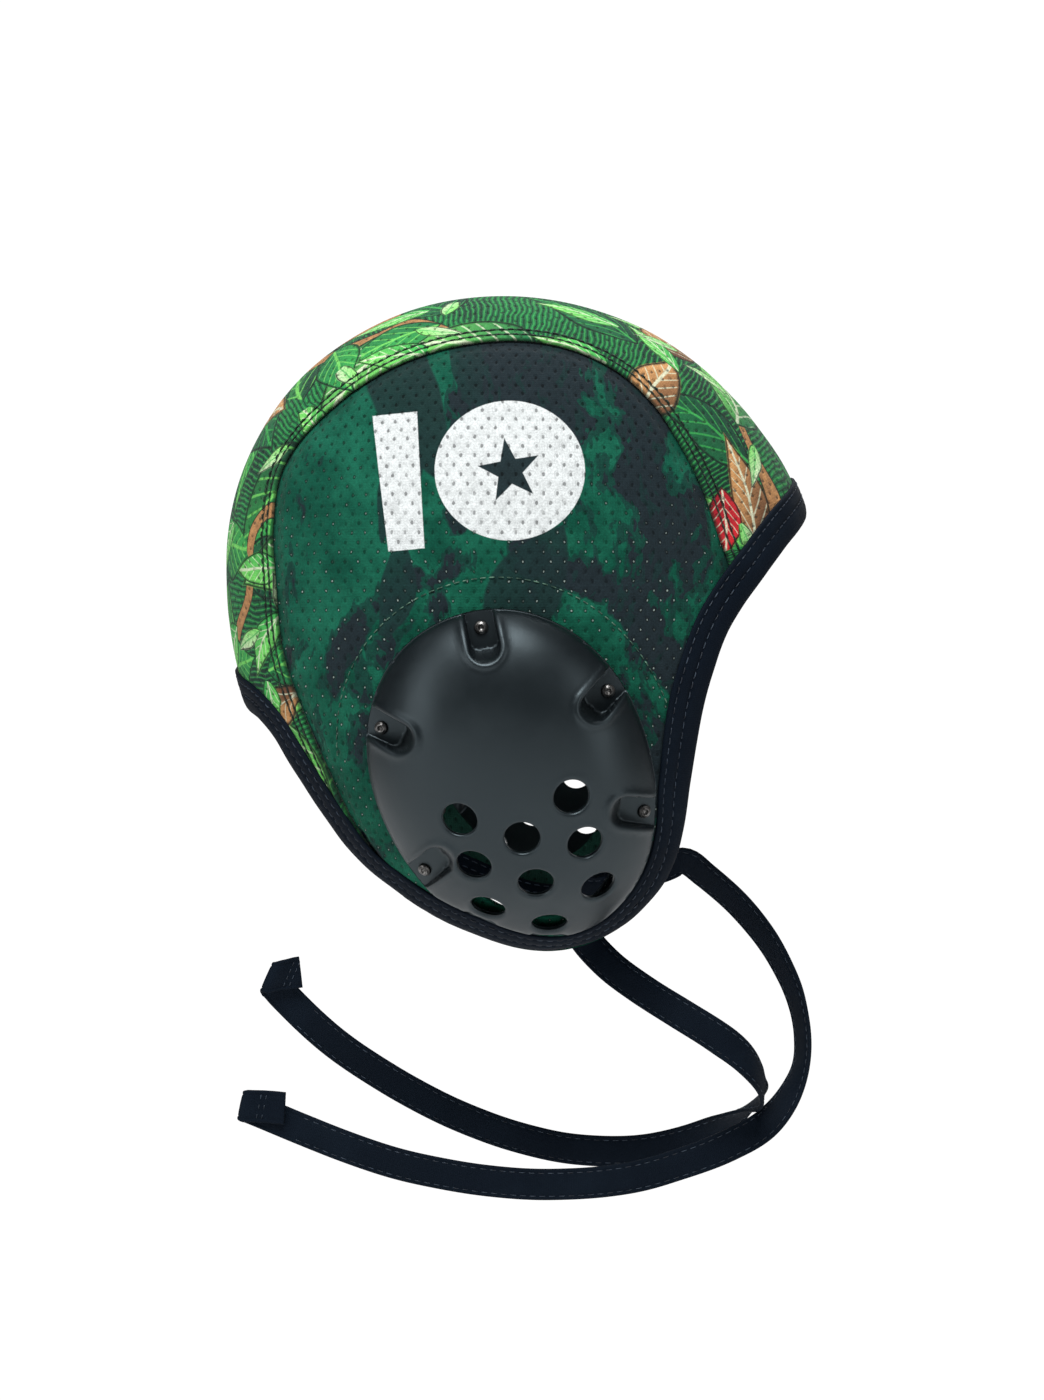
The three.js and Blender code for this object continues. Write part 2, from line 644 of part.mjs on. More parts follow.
// A rivet with a domed head and a socket, its axis along Y from the outside of the cloth
function rivetGeometry() {
  const { head: radius, dome, shank, foot, footHeight, socket } = RIVET;
  const seat = FLOOR_LIFT + CLEARANCE;
  const under = -CAP.cloth - CLEARANCE - FACET_SAG;
  const profile = [
    [0, under - footHeight],
    [foot, under - footHeight],
    [foot, under],
    [shank, under],
    [shank, seat],
    [radius, seat],
    [radius * 0.8, seat + dome],
    [0, seat + dome],
  ];
  const body = new THREE.LatheGeometry(profile.map(([x, y]) => new THREE.Vector2(x, y)), FACETS.rivet);
  const key = drill(socket, new THREE.Vector3(0, seat + dome, 0), new THREE.Vector3(0, 1, 0), dome * 0.6, 6);
  return geometryOf(solidOf(body).subtract(key));
}

// A flat tape swept along a route of points with a roll each, thicker where its end is folded over and sewn
function sweptTape(points, rolls) {
  const curve = new THREE.CatmullRomCurve3(points);
  const length = curve.getLength();
  const rollRows = rolls.map((roll, i) => ({ step: i, roll }));
  const tabStart = 1 - TIE.tabLength / length;
  const even = Array.from({ length: FACETS.tie + 1 }, (_, i) => (tabStart * i) / FACETS.tie);
  const stations = [
    ...even.map((at) => ({ at, tape: TIE.tape })),
    { at: tabStart + 0.3 / length, tape: TIE.tabTape },
    { at: 1, tape: TIE.tabTape },
  ];
  const sideways = new THREE.Vector3(0, 1, 0);
  const corners = stations.flatMap(({ at, tape }) => {
    const along = curve.getTangentAt(at);
    const roll = radians(read(rollRows, "roll", curve.getUtoTmapping(at) * (rolls.length - 1), "step"));
    const flat = along.clone().cross(sideways).normalize();
    const edgeOn = flat.clone().cross(along).normalize();
    const width = flat.clone().multiplyScalar(Math.cos(roll)).addScaledVector(edgeOn, Math.sin(roll));
    const face = along.clone().cross(width).normalize();
    const middle = curve.getPointAt(at);
    const corner = (w, f) =>
      middle.clone().addScaledVector(width, (w * TIE.width) / 2).addScaledVector(face, (f * tape) / 2);
    return [corner(1, 1), corner(1, -1), corner(-1, -1), corner(-1, 1)];
  });
  const faces = [
    [0, 1, 2],
    [0, 2, 3],
  ];
  for (let i = 0; i < stations.length - 1; i += 1) {
    for (let k = 0; k < 4; k += 1) {
      const [a, b] = [4 * i + k, 4 * i + ((k + 1) % 4)];
      faces.push([a, a + 4, b + 4], [a, b + 4, b]);
    }
  }
  const last = corners.length - 4;
  faces.push([last, last + 2, last + 1], [last, last + 3, last + 2]);
  return indexedGeometry(corners, faces);
}

// A tie: sewn flat against the inner leg of the binding, in past the edge, then its free run
function tie(run, side) {
  const lift = -CAP.cloth - BINDING.tape - 2 * CLEARANCE - FACET_SAG - TIE.tape / 2;
  const [before, edge, after] = [-1, 0, 1].map((i) => {
    const { turn, lean } = edgePlace(TIE_ROOT_TURN + 3 * i);
    return surfacePoint(turn, lean);
  });
  const sewn = SEWN_RUN.map(({ inward, away }) =>
    liftedPoint(placeFromEdge(TIE_ROOT_TURN, inward * TIE.sewn), lift - away * TIE.sewn),
  );
  const along = sewn[2].clone().sub(sewn[1]).normalize();
  const upright = along.clone().cross(new THREE.Vector3(0, 1, 0)).cross(along).normalize();
  const sewnRoll = degrees(Math.asin(after.sub(before).normalize().dot(upright)));
  const free = run.map(
    ({ ahead, out, down }) =>
      new THREE.Vector3(edge.x + ahead * TIE.reach, -out * CAP.halfBreadth, edge.z - down * TIE.drop),
  );
  const points = [...sewn, ...free].map((point) => point.setY(side * point.y));
  const rolls = [...sewn.map(() => sewnRoll), ...run.map(({ roll }) => roll)];
  return sweptTape(
    points,
    rolls.map((roll) => side * roll),
  );
}

// Everything on one side of the head; the left side is the right one mirrored
function sideGroup(side, mirrored, shapes) {
  const group = new THREE.Group();
  group.scale.y = mirrored ? -1 : 1;
  group.add(namedMesh(`side_panel_${side}`, shapes.panel, materials.side));
  group.add(namedMesh(`ear_guard_${side}`, shapes.guard, materials.guard));
  rivetPlaces().forEach(({ point, axis }, i) => {
    const rivet = namedMesh(`rivet_${side}_${i + 1}`, shapes.rivet, materials.rivet);
    rivet.position.copy(point);
    rivet.quaternion.setFromUnitVectors(new THREE.Vector3(0, 1, 0), axis);
    group.add(rivet);
  });
  return group;
}

const shapes = { panel: geometryOf(sidePanel()), guard: geometryOf(earGuard()), rivet: rivetGeometry() };
const cap = new THREE.Group();
cap.name = "water_polo_cap";
cap.add(namedMesh("crown_panel", geometryOf(crownPanel()), materials.crown));
cap.add(sideGroup("right", false, shapes));
cap.add(sideGroup("left", true, shapes));
cap.add(namedMesh("edge_binding", geometryOf(edgeBinding()), materials.tape));
cap.add(namedMesh("tie_right", tie(NEAR_RUN, 1), materials.tape));
cap.add(namedMesh("tie_left", tie(FAR_RUN, -1), materials.tape));

export default cap;
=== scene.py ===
"""A water polo cap: printed mesh cloth, a bound edge, moulded ear guards, rivets and two tape ties.

Sizes are in millimetres until a mesh is made. The frame is the CAD model's: +X is the forehead,
-Y the wearer's right, +Z up, and the origin lies inside the crown at its top.
"""

from __future__ import annotations

import logging
import math
from dataclasses import dataclass, field
from enum import Enum
from typing import Sequence

import bmesh
import bpy
import numpy as np
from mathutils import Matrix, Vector
from mathutils.geometry import delaunay_2d_cdt
from mathutils.kdtree import KDTree

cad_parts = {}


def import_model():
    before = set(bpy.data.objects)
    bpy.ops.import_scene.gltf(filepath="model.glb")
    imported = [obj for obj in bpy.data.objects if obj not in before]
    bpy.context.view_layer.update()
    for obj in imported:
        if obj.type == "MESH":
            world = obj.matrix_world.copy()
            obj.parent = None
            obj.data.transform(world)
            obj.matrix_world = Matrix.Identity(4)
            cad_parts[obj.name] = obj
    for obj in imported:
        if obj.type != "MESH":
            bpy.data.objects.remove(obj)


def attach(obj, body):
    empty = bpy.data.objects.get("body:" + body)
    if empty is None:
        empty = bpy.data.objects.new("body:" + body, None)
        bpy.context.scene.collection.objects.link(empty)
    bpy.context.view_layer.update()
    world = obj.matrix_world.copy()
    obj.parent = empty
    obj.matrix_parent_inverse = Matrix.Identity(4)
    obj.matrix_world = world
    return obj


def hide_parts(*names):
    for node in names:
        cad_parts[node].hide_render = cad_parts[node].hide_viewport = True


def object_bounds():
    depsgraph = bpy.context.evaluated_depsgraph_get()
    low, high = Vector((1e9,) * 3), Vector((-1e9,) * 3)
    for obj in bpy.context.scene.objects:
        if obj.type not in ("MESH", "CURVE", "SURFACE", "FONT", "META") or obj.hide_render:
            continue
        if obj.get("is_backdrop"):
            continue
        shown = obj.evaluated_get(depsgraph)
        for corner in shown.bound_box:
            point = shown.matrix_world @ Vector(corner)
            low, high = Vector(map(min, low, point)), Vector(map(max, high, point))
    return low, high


Array = np.ndarray
Piece = bpy.types.Object
Material = bpy.types.Material
Node = bpy.types.Node
NodeSocket = bpy.types.NodeSocket
NodeTree = bpy.types.NodeTree
Colour = tuple[float, float, float, float]

LOG = logging.getLogger("water_polo_cap")
MM = 0.001
CLEARANCE = 0.3


class Side(Enum):
    """A side of the wearer's head, with its direction along Y."""

    RIGHT = -1
    LEFT = 1

    @property
    def label(self) -> str:
        """Lower-case name, as in the CAD nodes."""
        return self.name.lower()

    @property
    def flip(self) -> Array:
        """Factors that bring points of the right side to this one."""
        return np.array([1, -self.value, 1])


@dataclass(frozen=True)
class SmoothCurve:
    """A smooth curve through the rows of a table, which can run round."""

    rows: tuple[tuple[float, ...], ...]
    column: int = 1
    period: float = 0.0

    def __call__(self, where: Array | float) -> Array:
        """Read the curve.

        Args:
            where: Places along the table's first column.

        Returns:
            The values there.
        """
        at = np.array([row[0] for row in self.rows], float)
        value = np.array([row[self.column] for row in self.rows], float)
        wanted = np.asarray(where, float)
        if self.period:
            wanted = at[0] + (wanted - at[0]) % self.period
            at = np.concatenate([[at[-1] - self.period], at, at[:2] + self.period])
            value = np.concatenate([[value[-1]], value, value[:2]])
        else:
            at = np.concatenate([at[:1], at, at[-1:]])
            value = np.concatenate([value[:1], value, value[-1:]])
        start = np.clip(np.searchsorted(at[1:-1], wanted, side="right"), 1, len(at) - 3)
        span = at[start + 1] - at[start]
        t = np.clip((wanted - at[start]) / span, 0, 1)
        rise_start = (value[start + 1] - value[start - 1]) / (at[start + 1] - at[start - 1]) * span
        rise_end = (value[start + 2] - value[start]) / (at[start + 2] - at[start]) * span
        return (
            (2 * t**3 - 3 * t**2 + 1) * value[start]
            + (t**3 - 2 * t**2 + t) * rise_start
            + (3 * t**2 - 2 * t**3) * value[start + 1]
            + (t**3 - t**2) * rise_end
        )


# Side profile: turn round the ear axis, reach, squareness of the cross section
PROFILE = (
    (-159, 0.945, 2.3), (-137, 0.965, 2.5), (-118, 1.02, 2.8), (-98, 1.105, 3.0), (-80, 1.16, 3.0),
    (-60, 1.115, 2.9), (-45, 1.03, 2.7), (-30, 1.0, 2.5), (-12, 1.01, 2.4), (2, 1.03, 2.3),
    (16, 1.052, 2.2), (35, 1.026, 2.2), (60, 1.006, 2.2), (90, 1.0, 2.2), (115, 1.012, 2.2),
    (140, 1.01, 2.2), (160, 0.99, 2.2), (180, 0.955, 2.2),
)
# Open edge: turn, share of the profile's reach
EDGE = (
    (-159, 1.0), (-156.5, 0.953), (-152.5, 0.924), (-147, 0.914), (-139, 0.913), (-130, 0.921),
    (-120, 0.934), (-110, 0.932), (-98, 0.938), (-86, 0.956), (-78, 0.962), (-69, 0.951), (-60, 0.917),
    (-50, 0.852), (-42, 0.788), (-34, 0.739), (-24, 0.699), (-14, 0.686), (-4, 0.703), (3, 0.752),
    (9, 0.828), (13, 0.904), (16, 1.0),
)
# Seam between crown and side panel: turn, share of the profile's reach
SEAM = (
    (2, 0.728), (10, 0.718), (20, 0.706), (34, 0.742), (44, 0.774), (55, 0.82), (66, 0.853), (82, 0.87),
    (110, 0.859), (130, 0.86), (148, 0.869), (160, 0.83), (172, 0.797), (190, 0.792), (205, 0.786),
    (219, 0.807), (230, 0.847), (240, 0.889), (246, 0.93),
)


@dataclass(frozen=True)
class CapForm:
    """The outside of the cap as a smooth form round the ear axis, in turns and leans.

    A turn runs from 0 at the front over 90 at the top. A lean is 0 at the middle plane and 90 over the ear,
    positive toward the wearer's right.
    """

    half_length: float = 91.0
    crown_rise: float = 94.0
    half_breadth: float = 72.0
    cloth: float = 1.2
    reach: SmoothCurve = SmoothCurve(PROFILE, 1, 360)
    squareness: SmoothCurve = SmoothCurve(PROFILE, 2, 360)

    @property
    def ear_axis_z(self) -> float:
        """Height of the ear axis."""
        return self.cloth - self.crown_rise

    def side_point(self, turn: Array, share: Array) -> tuple[Array, Array]:
        """Point of the side view.

        Args:
            turn: Turns in degrees.
            share: Shares of the profile's reach.

        Returns:
            Its x and z.
        """
        reach = share * self.reach(turn)
        angle = np.radians(turn)
        return (
            self.half_length * reach * np.cos(angle),
            self.ear_axis_z + self.crown_rise * reach * np.sin(angle),
        )

    def side_polar(self, x: Array, z: Array) -> tuple[Array, Array]:
        """Turn and share of a point of the side view.

        Args:
            x: Distances ahead.
            z: Heights.

        Returns:
            Turns and shares.
        """
        across = x / self.half_length
        up = (z - self.ear_axis_z) / self.crown_rise
        turn = np.degrees(np.arctan2(up, across))
        return turn, np.hypot(across, up) / self.reach(turn)

    def breadth(self, x: Array, z: Array) -> Array:
        """Half breadth of the outside over a point of the side view.

        Args:
            x: Distances ahead.
            z: Heights.

        Returns:
            Distances from the middle plane.
        """
        turn, share = self.side_polar(x, z)
        power = self.squareness(turn)
        return self.half_breadth * np.maximum(1 - share**power, 0) ** (1 / power)

    def beside(self, x: Array, z: Array) -> Array:
        """Points of the right side of the outside.

        Args:
            x: Distances ahead.
            z: Heights.

        Returns:
            Points, with a last axis of three.
        """
        return np.stack([x, -self.breadth(x, z), z], axis=-1)

    def surface(self, turn: Array, lean: Array) -> Array:
        """Points of the outside.

        Args:
            turn: Turns in degrees.
            lean: Leans in degrees.

        Returns:
            Points, with a last axis of three.
        """
        turn, lean = np.broadcast_arrays(np.asarray(turn, float), np.asarray(lean, float))
        power = 2 / self.squareness(turn)
        angle = np.radians(lean)
        x, z = self.side_point(turn, np.maximum(np.cos(angle), 0) ** power)
        y = -np.sign(angle) * self.half_breadth * np.abs(np.sin(angle)) ** power
        return np.stack([x, y, z], axis=-1)

    def normal(self, turn: Array, lean: Array) -> Array:
        """Outward directions of the outside.

        Args:
            turn: Turns in degrees.
            lean: Leans in degrees.

        Returns:
            Unit vectors, with a last axis of three.
        """
        turn, lean = np.broadcast_arrays(np.asarray(turn, float), np.asarray(lean, float))
        step = 0.5
        round_ = self.surface(turn + step, lean) - self.surface(turn - step, lean)
        over = self.surface(turn, lean + step) - self.surface(turn, lean - step)
        found = unit(np.cross(round_, over))
        pole = np.stack([np.zeros_like(lean), -np.sign(lean), np.zeros_like(lean)], axis=-1)
        return np.where(np.abs(lean)[..., None] > 89, pole, found)

    def place(self, points: Array) -> tuple[Array, Array]:
        """Turn and lean of points near the outside.

        Args:
            points: Points, with a last axis of three.

        Returns:
            Turns and leans.
        """
        turn, share = self.side_polar(points[..., 0], points[..., 2])
        power = self.squareness(turn)
        out = np.abs(points[..., 1]) / self.half_breadth
        scale = (share**power + out**power) ** (-1 / power)
        lean = np.degrees(np.arcsin(np.minimum(out * scale, 1) ** (power / 2)))
        return turn, np.where(points[..., 1] > 0, -lean, lean)

    def lifted(self, turn: Array, lean: Array, lift: Array | float) -> Array:
        """Points at a height square to the outside.

        Args:
            turn: Turns in degrees.
            lean: Leans in degrees.
            lift: Heights.

        Returns:
            Points, with a last axis of three.
        """
        return self.surface(turn, lean) + self.normal(turn, lean) * np.asarray(lift, float)[..., None]

    def lean_at(self, turn: Array, share: Array) -> Array:
        """Lean of a point of the side view.

        Args:
            turn: Turns in degrees.
            share: Shares of the profile's reach.

        Returns:
            Leans toward the wearer's right.
        """
        return np.degrees(np.arccos(np.minimum(share, 1) ** (self.squareness(turn) / 2)))


FORM = CapForm()


def unit(vectors: Array) -> Array:
    """Vectors of length one.

    Args:
        vectors: Vectors, with a last axis of three.

    Returns:
        The same directions.
    """
    return vectors / np.maximum(np.linalg.norm(vectors, axis=-1, keepdims=True), 1e-9)


def smooth_step(low: float, high: float, value: Array) -> Array:
    """Smooth rise from 0 to 1.

    Args:
        low: Where it starts.
        high: Where it ends.
        value: Where it is read.

    Returns:
        Shares from 0 to 1.
    """
    t = np.clip((value - low) / (high - low), 0, 1)
    return t * t * (3 - 2 * t)


def hump(value: Array, middle: float, width: float) -> Array:
    """Bell of height one.

    Args:
        value: Where it is read.
        middle: Its middle.
        width: Its half width.

    Returns:
        Heights from 0 to 1.
    """
    return np.exp(-(((value - middle) / width) ** 2))


def lengths(points: Array) -> Array:
    """Distance along a line of points.

    Args:
        points: Points in order, along the first axis.

    Returns:
        The distance of each from the first.
    """
    steps = np.linalg.norm(np.diff(points, axis=0), axis=-1)
    return np.concatenate([np.zeros_like(steps[:1]), np.cumsum(steps, axis=0)])


def along_line(points: Array, places: Array) -> Array:
    """Points at distances along a line.

    Args:
        points: The line's points.
        places: Distances from its start.

    Returns:
        One point for each place.
    """
    reach = lengths(points)
    return np.stack([np.interp(places, reach, points[:, k]) for k in range(points.shape[1])], axis=-1)


def drape(points: Array) -> Array:
    """Slack of stretched cloth: a slow rise and fall over the form.

    Args:
        points: Points of the cloth.

    Returns:
        Lifts in millimetres.
    """
    x, y, z = points[..., 0], points[..., 1], points[..., 2]
    slow = np.sin(x / 13.0 + y / 31.0 + 1.3) * np.sin(z / 17.0 - x / 41.0 + 0.4)
    quick = np.sin(x / 6.1 - z / 7.7 + 2.1) * np.sin(z / 5.3 + y / 9.1)
    return 0.22 * slow + 0.06 * quick


@dataclass(frozen=True)
class SurfaceLine:
    """A line on the right half of the outside, given as a share of the reach at each turn."""

    share: SmoothCurve
    crosses_middle: bool = False

    @property
    def ends(self) -> tuple[float, float]:
        """First and last turn."""
        return self.share.rows[0][0], self.share.rows[-1][0]

    def on_line(self, turn: Array) -> Array:
        """Points of the line.

        Args:
            turn: Turns in degrees; past an end at the middle plane the line is mirrored.

        Returns:
            Points, with a last axis of three.
        """
        first, last = self.ends
        turn = np.asarray(turn, float)
        if not self.crosses_middle:
            return FORM.surface(turn, FORM.lean_at(turn, self.share(turn)))
        inside = np.where(turn < first, 2 * first - turn, np.where(turn > last, 2 * last - turn, turn))
        points = FORM.surface(inside, FORM.lean_at(inside, self.share(inside)))
        points[..., 1] *= np.where(inside == turn, 1, -1)
        return points

    def turns(self, count: int) -> Array:
        """Turns along the line, close together where it crosses the middle plane.

        Args:
            count: How many.

        Returns:
            Turns in degrees.
        """
        first, last = self.ends
        share = np.linspace(0, 1, 4000)
        if self.crosses_middle:
            share = (1 - np.cos(np.pi * share)) / 2
        dense = first + (last - first) * share
        reach = lengths(self.on_line(dense))
        return np.interp(np.linspace(0, reach[-1], count), reach, dense)

    def places(self, turn: Array, distance: Array) -> tuple[Array, Array]:
        """Places at a distance from the line, square to it along the cap's outside.

        Args:
            turn: Turns in degrees.
            distance: Distances, inward on the cap where positive.

        Returns:
            Turns and leans.
        """
        step = 0.6
        turn = np.asarray(turn, float)
        here = self.on_line(turn)
        lean = FORM.lean_at(turn, self.share(turn))
        if self.crosses_middle:
            before, after = self.on_line(turn - step), self.on_line(turn + step)
        else:
            first, last = self.ends
            before = self.on_line(np.maximum(turn - step, first))
            after = self.on_line(np.minimum(turn + step, last))
        inward = unit(np.cross(FORM.normal(turn, lean), unit(after - before)))
        return FORM.place(here + inward * np.asarray(distance, float)[..., None])

    def offset(self, turn: Array, distance: float, lift: float) -> tuple[Array, Array]:
        """Points and normals beside the line.

        Args:
            turn: Turns in degrees.
            distance: Distance from the line.
            lift: Height over the outside.

        Returns:
            Points and unit normals.
        """
        where = self.places(turn, np.full_like(np.asarray(turn, float), distance))
        return FORM.lifted(*where, lift), FORM.normal(*where)


OPEN_EDGE = SurfaceLine(SmoothCurve(EDGE), crosses_middle=True)
PANEL_SEAM = SurfaceLine(SmoothCurve(SEAM))


def clear_of_binding(line: Array, margin: float = 11.6) -> Array:
    """Which points of a line on the right half lie inward of the edge binding.

    Args:
        line: Points of the line.
        margin: Least distance from the open edge.

    Returns:
        True for each point that does.
    """
    edge = OPEN_EDGE.on_line(OPEN_EDGE.turns(700))
    return np.linalg.norm(line[:, None] - edge[None], axis=-1).min(axis=1) > margin


def runs_of(mask: Array) -> list[Array]:
    """Unbroken runs of a mask that goes round.

    Args:
        mask: True where a point counts.

    Returns:
        The numbers of each run's points, in order.
    """
    if mask.all():
        return [np.arange(len(mask))]
    order = np.roll(np.arange(len(mask)), -int(np.argmin(mask)))
    kept = mask[order].astype(int)
    starts = np.nonzero(np.diff(kept) == 1)[0] + 1
    stops = np.nonzero(np.diff(np.append(kept, 0)) == -1)[0] + 1
    return [order[a:b] for a, b in zip(starts, stops)]


def make_object(
    name: str,
    points: Array,
    faces: Sequence[Sequence[int]],
    finishes: Sequence[Material],
    layers: dict[str, Array] | None = None,
) -> Piece:
    """Make a smooth mesh object from points in millimetres.

    Args:
        name: Its name.
        points: Vertices, in millimetres.
        faces: Vertex numbers of each face.
        finishes: Its materials.
        layers: UV layers by name, with one pair in metres for each vertex.

    Returns:
        The object, in the scene.
    """
    mesh = bpy.data.meshes.new(name)
    mesh.from_pydata((np.asarray(points) * MM).tolist(), [], [list(map(int, face)) for face in faces])
    corners = np.empty(len(mesh.loops), dtype=np.int32)
    mesh.loops.foreach_get("vertex_index", corners)
    for layer, values in (layers or {}).items():
        made = mesh.uv_layers.new(name=layer)
        made.data.foreach_set("uv", np.asarray(values, np.float32)[corners].ravel())
    mesh.polygons.foreach_set("use_smooth", [True] * len(mesh.polygons))
    mesh.update()
    for finish in finishes:
        mesh.materials.append(finish)
    made_object = bpy.data.objects.new(name, mesh)
    bpy.context.scene.collection.objects.link(made_object)
    return made_object


def grid_faces(rows: int, columns: int, closed: bool, flipped: bool = False) -> Array:
    """Quads of a grid of vertices numbered row by row.

    Args:
        rows: Number of rows.
        columns: Number of columns.
        closed: Whether the last column meets the first.
        flipped: Whether the faces turn the other way.

    Returns:
        Four vertex numbers for each face.
    """
    across = columns if closed else columns - 1
    row, column = np.meshgrid(np.arange(rows - 1), np.arange(across), indexing="ij")
    after = (column + 1) % columns
    start, above = row * columns, (row + 1) * columns
    quads = np.stack([start + column, start + after, above + after, above + column], axis=-1).reshape(-1, 4)
    return quads[:, ::-1] if flipped else quads


def tube_faces(rows: int, sides: int) -> list[list[int]]:
    """Faces of a tube with closed ends.

    Args:
        rows: Its rings.
        sides: Points of each.

    Returns:
        Vertex numbers of each face.
    """
    faces = grid_faces(rows, sides, closed=True).tolist()
    return faces + [list(range(sides))[::-1], [(rows - 1) * sides + i for i in range(sides)]]


def stitched(name: str, parts: Sequence[tuple[Array, Array]], finish: Material) -> Piece:
    """Join runs of stitches into one piece.

    Args:
        name: Its name.
        parts: Points and faces of each run.
        finish: The thread's finish.

    Returns:
        The piece.
    """
    starts = np.cumsum([0] + [len(points) for points, _ in parts])
    faces = np.concatenate([numbers + start for (_, numbers), start in zip(parts, starts)])
    return make_object(name, np.concatenate([points for points, _ in parts]), faces, [finish])


def face_out(piece: Piece) -> None:
    """Turn the faces of a closed mesh outward.

    Args:
        piece: The piece.
    """
    work = bmesh.new()
    work.from_mesh(piece.data)
    bmesh.ops.recalc_face_normals(work, faces=work.faces)
    work.to_mesh(piece.data)
    work.free()


def thicken(panel: Piece) -> None:
    """Give cloth its thickness, inward from its faces, with its back in the second finish.

    Args:
        panel: The cloth.
    """
    solid = panel.modifiers.new("thickness", "SOLIDIFY")
    solid.thickness = FORM.cloth * MM
    solid.offset = -1
    solid.use_even_offset = True
    solid.material_offset = 1


def declare_cloth(panel: Piece) -> None:
    """Log the size of the pattern that a panel is cut from, read off its cloth layer, and its area.

    Args:
        panel: The sheet, before it has its thickness.
    """
    pattern = np.empty(2 * len(panel.data.loops), np.float32)
    panel.data.uv_layers["cloth"].data.foreach_get("uv", pattern)
    width, length = sorted(float(size) for size in np.ptp(pattern.reshape(-1, 2), axis=0))
    area = sum(face.area for face in panel.data.polygons)
    LOG.info("%s: cut from %.0f x %.0f mm, %.0f cm2", panel.name, width / MM, length / MM, area * 1e4)


@dataclass(frozen=True)
class Thread:
    """Sewing thread, as single stitches that dip into the cloth."""

    pitch: float = 2.9
    stitch: float = 2.2
    radius: float = 0.2
    sides: int = 5

    def sew(self, line: Array, normals: Array) -> tuple[Array, Array]:
        """Sew along a line.

        Args:
            line: Points of the seam on the cloth.
            normals: The cloth's unit normals there.

        Returns:
            Points and faces of all the stitches.
        """
        reach = lengths(line)
        count = max(int(reach[-1] / self.pitch), 1)
        starts = np.linspace(0, reach[-1] - self.stitch, count)
        shares = np.array([0.0, 0.14, 0.5, 0.86, 1.0])
        lifts = np.array([-0.3, 0.06, 0.13, 0.06, -0.3])
        fat = np.array([0.5, 0.9, 1.0, 0.9, 0.5])
        where = starts[:, None] + shares[None] * self.stitch
        centre = along_line(line, where.ravel()).reshape(count, 5, 3)
        up = unit(np.stack([np.interp(where, reach, normals[:, k]) for k in range(3)], axis=-1))
        ahead = unit(np.gradient(centre, axis=1))
        side = unit(np.cross(ahead, up))
        centre = centre + up * lifts[None, :, None]
        angle = np.linspace(0, 2 * np.pi, self.sides, endpoint=False)[None, None, :, None]
        ring = side[:, :, None] * np.cos(angle) + up[:, :, None] * np.sin(angle)
        points = centre[:, :, None] + ring * self.radius * fat[None, :, None, None]
        one = grid_faces(5, self.sides, closed=True)
        faces = (one[None] + (np.arange(count) * 5 * self.sides)[:, None, None]).reshape(-1, 4)
        return points.reshape(-1, 3), faces


@dataclass(frozen=True)
class Signal:
    """A node's output, whose plain arithmetic makes Math nodes."""

    graph: Graph
    socket: NodeSocket

    def __add__(self, other: object) -> Signal:
        """Sum."""
        return self.graph.math("ADD", self, other)

    def __radd__(self, other: object) -> Signal:
        """Sum that starts with a number."""
        return self.graph.math("ADD", other, self)

    def __sub__(self, other: object) -> Signal:
        """Difference."""
        return self.graph.math("SUBTRACT", self, other)

    def __rsub__(self, other: object) -> Signal:
        """Difference from a number."""
        return self.graph.math("SUBTRACT", other, self)

    def __mul__(self, other: object) -> Signal:
        """Product."""
        return self.graph.math("MULTIPLY", self, other)

    def __truediv__(self, other: object) -> Signal:
        """Quotient."""
        return self.graph.math("DIVIDE", self, other)

    def __rtruediv__(self, other: object) -> Signal:
        """Quotient of a number."""
        return self.graph.math("DIVIDE", other, self)

    def __abs__(self) -> Signal:
        """Size without its sign."""
        return self.graph.math("ABSOLUTE", self)


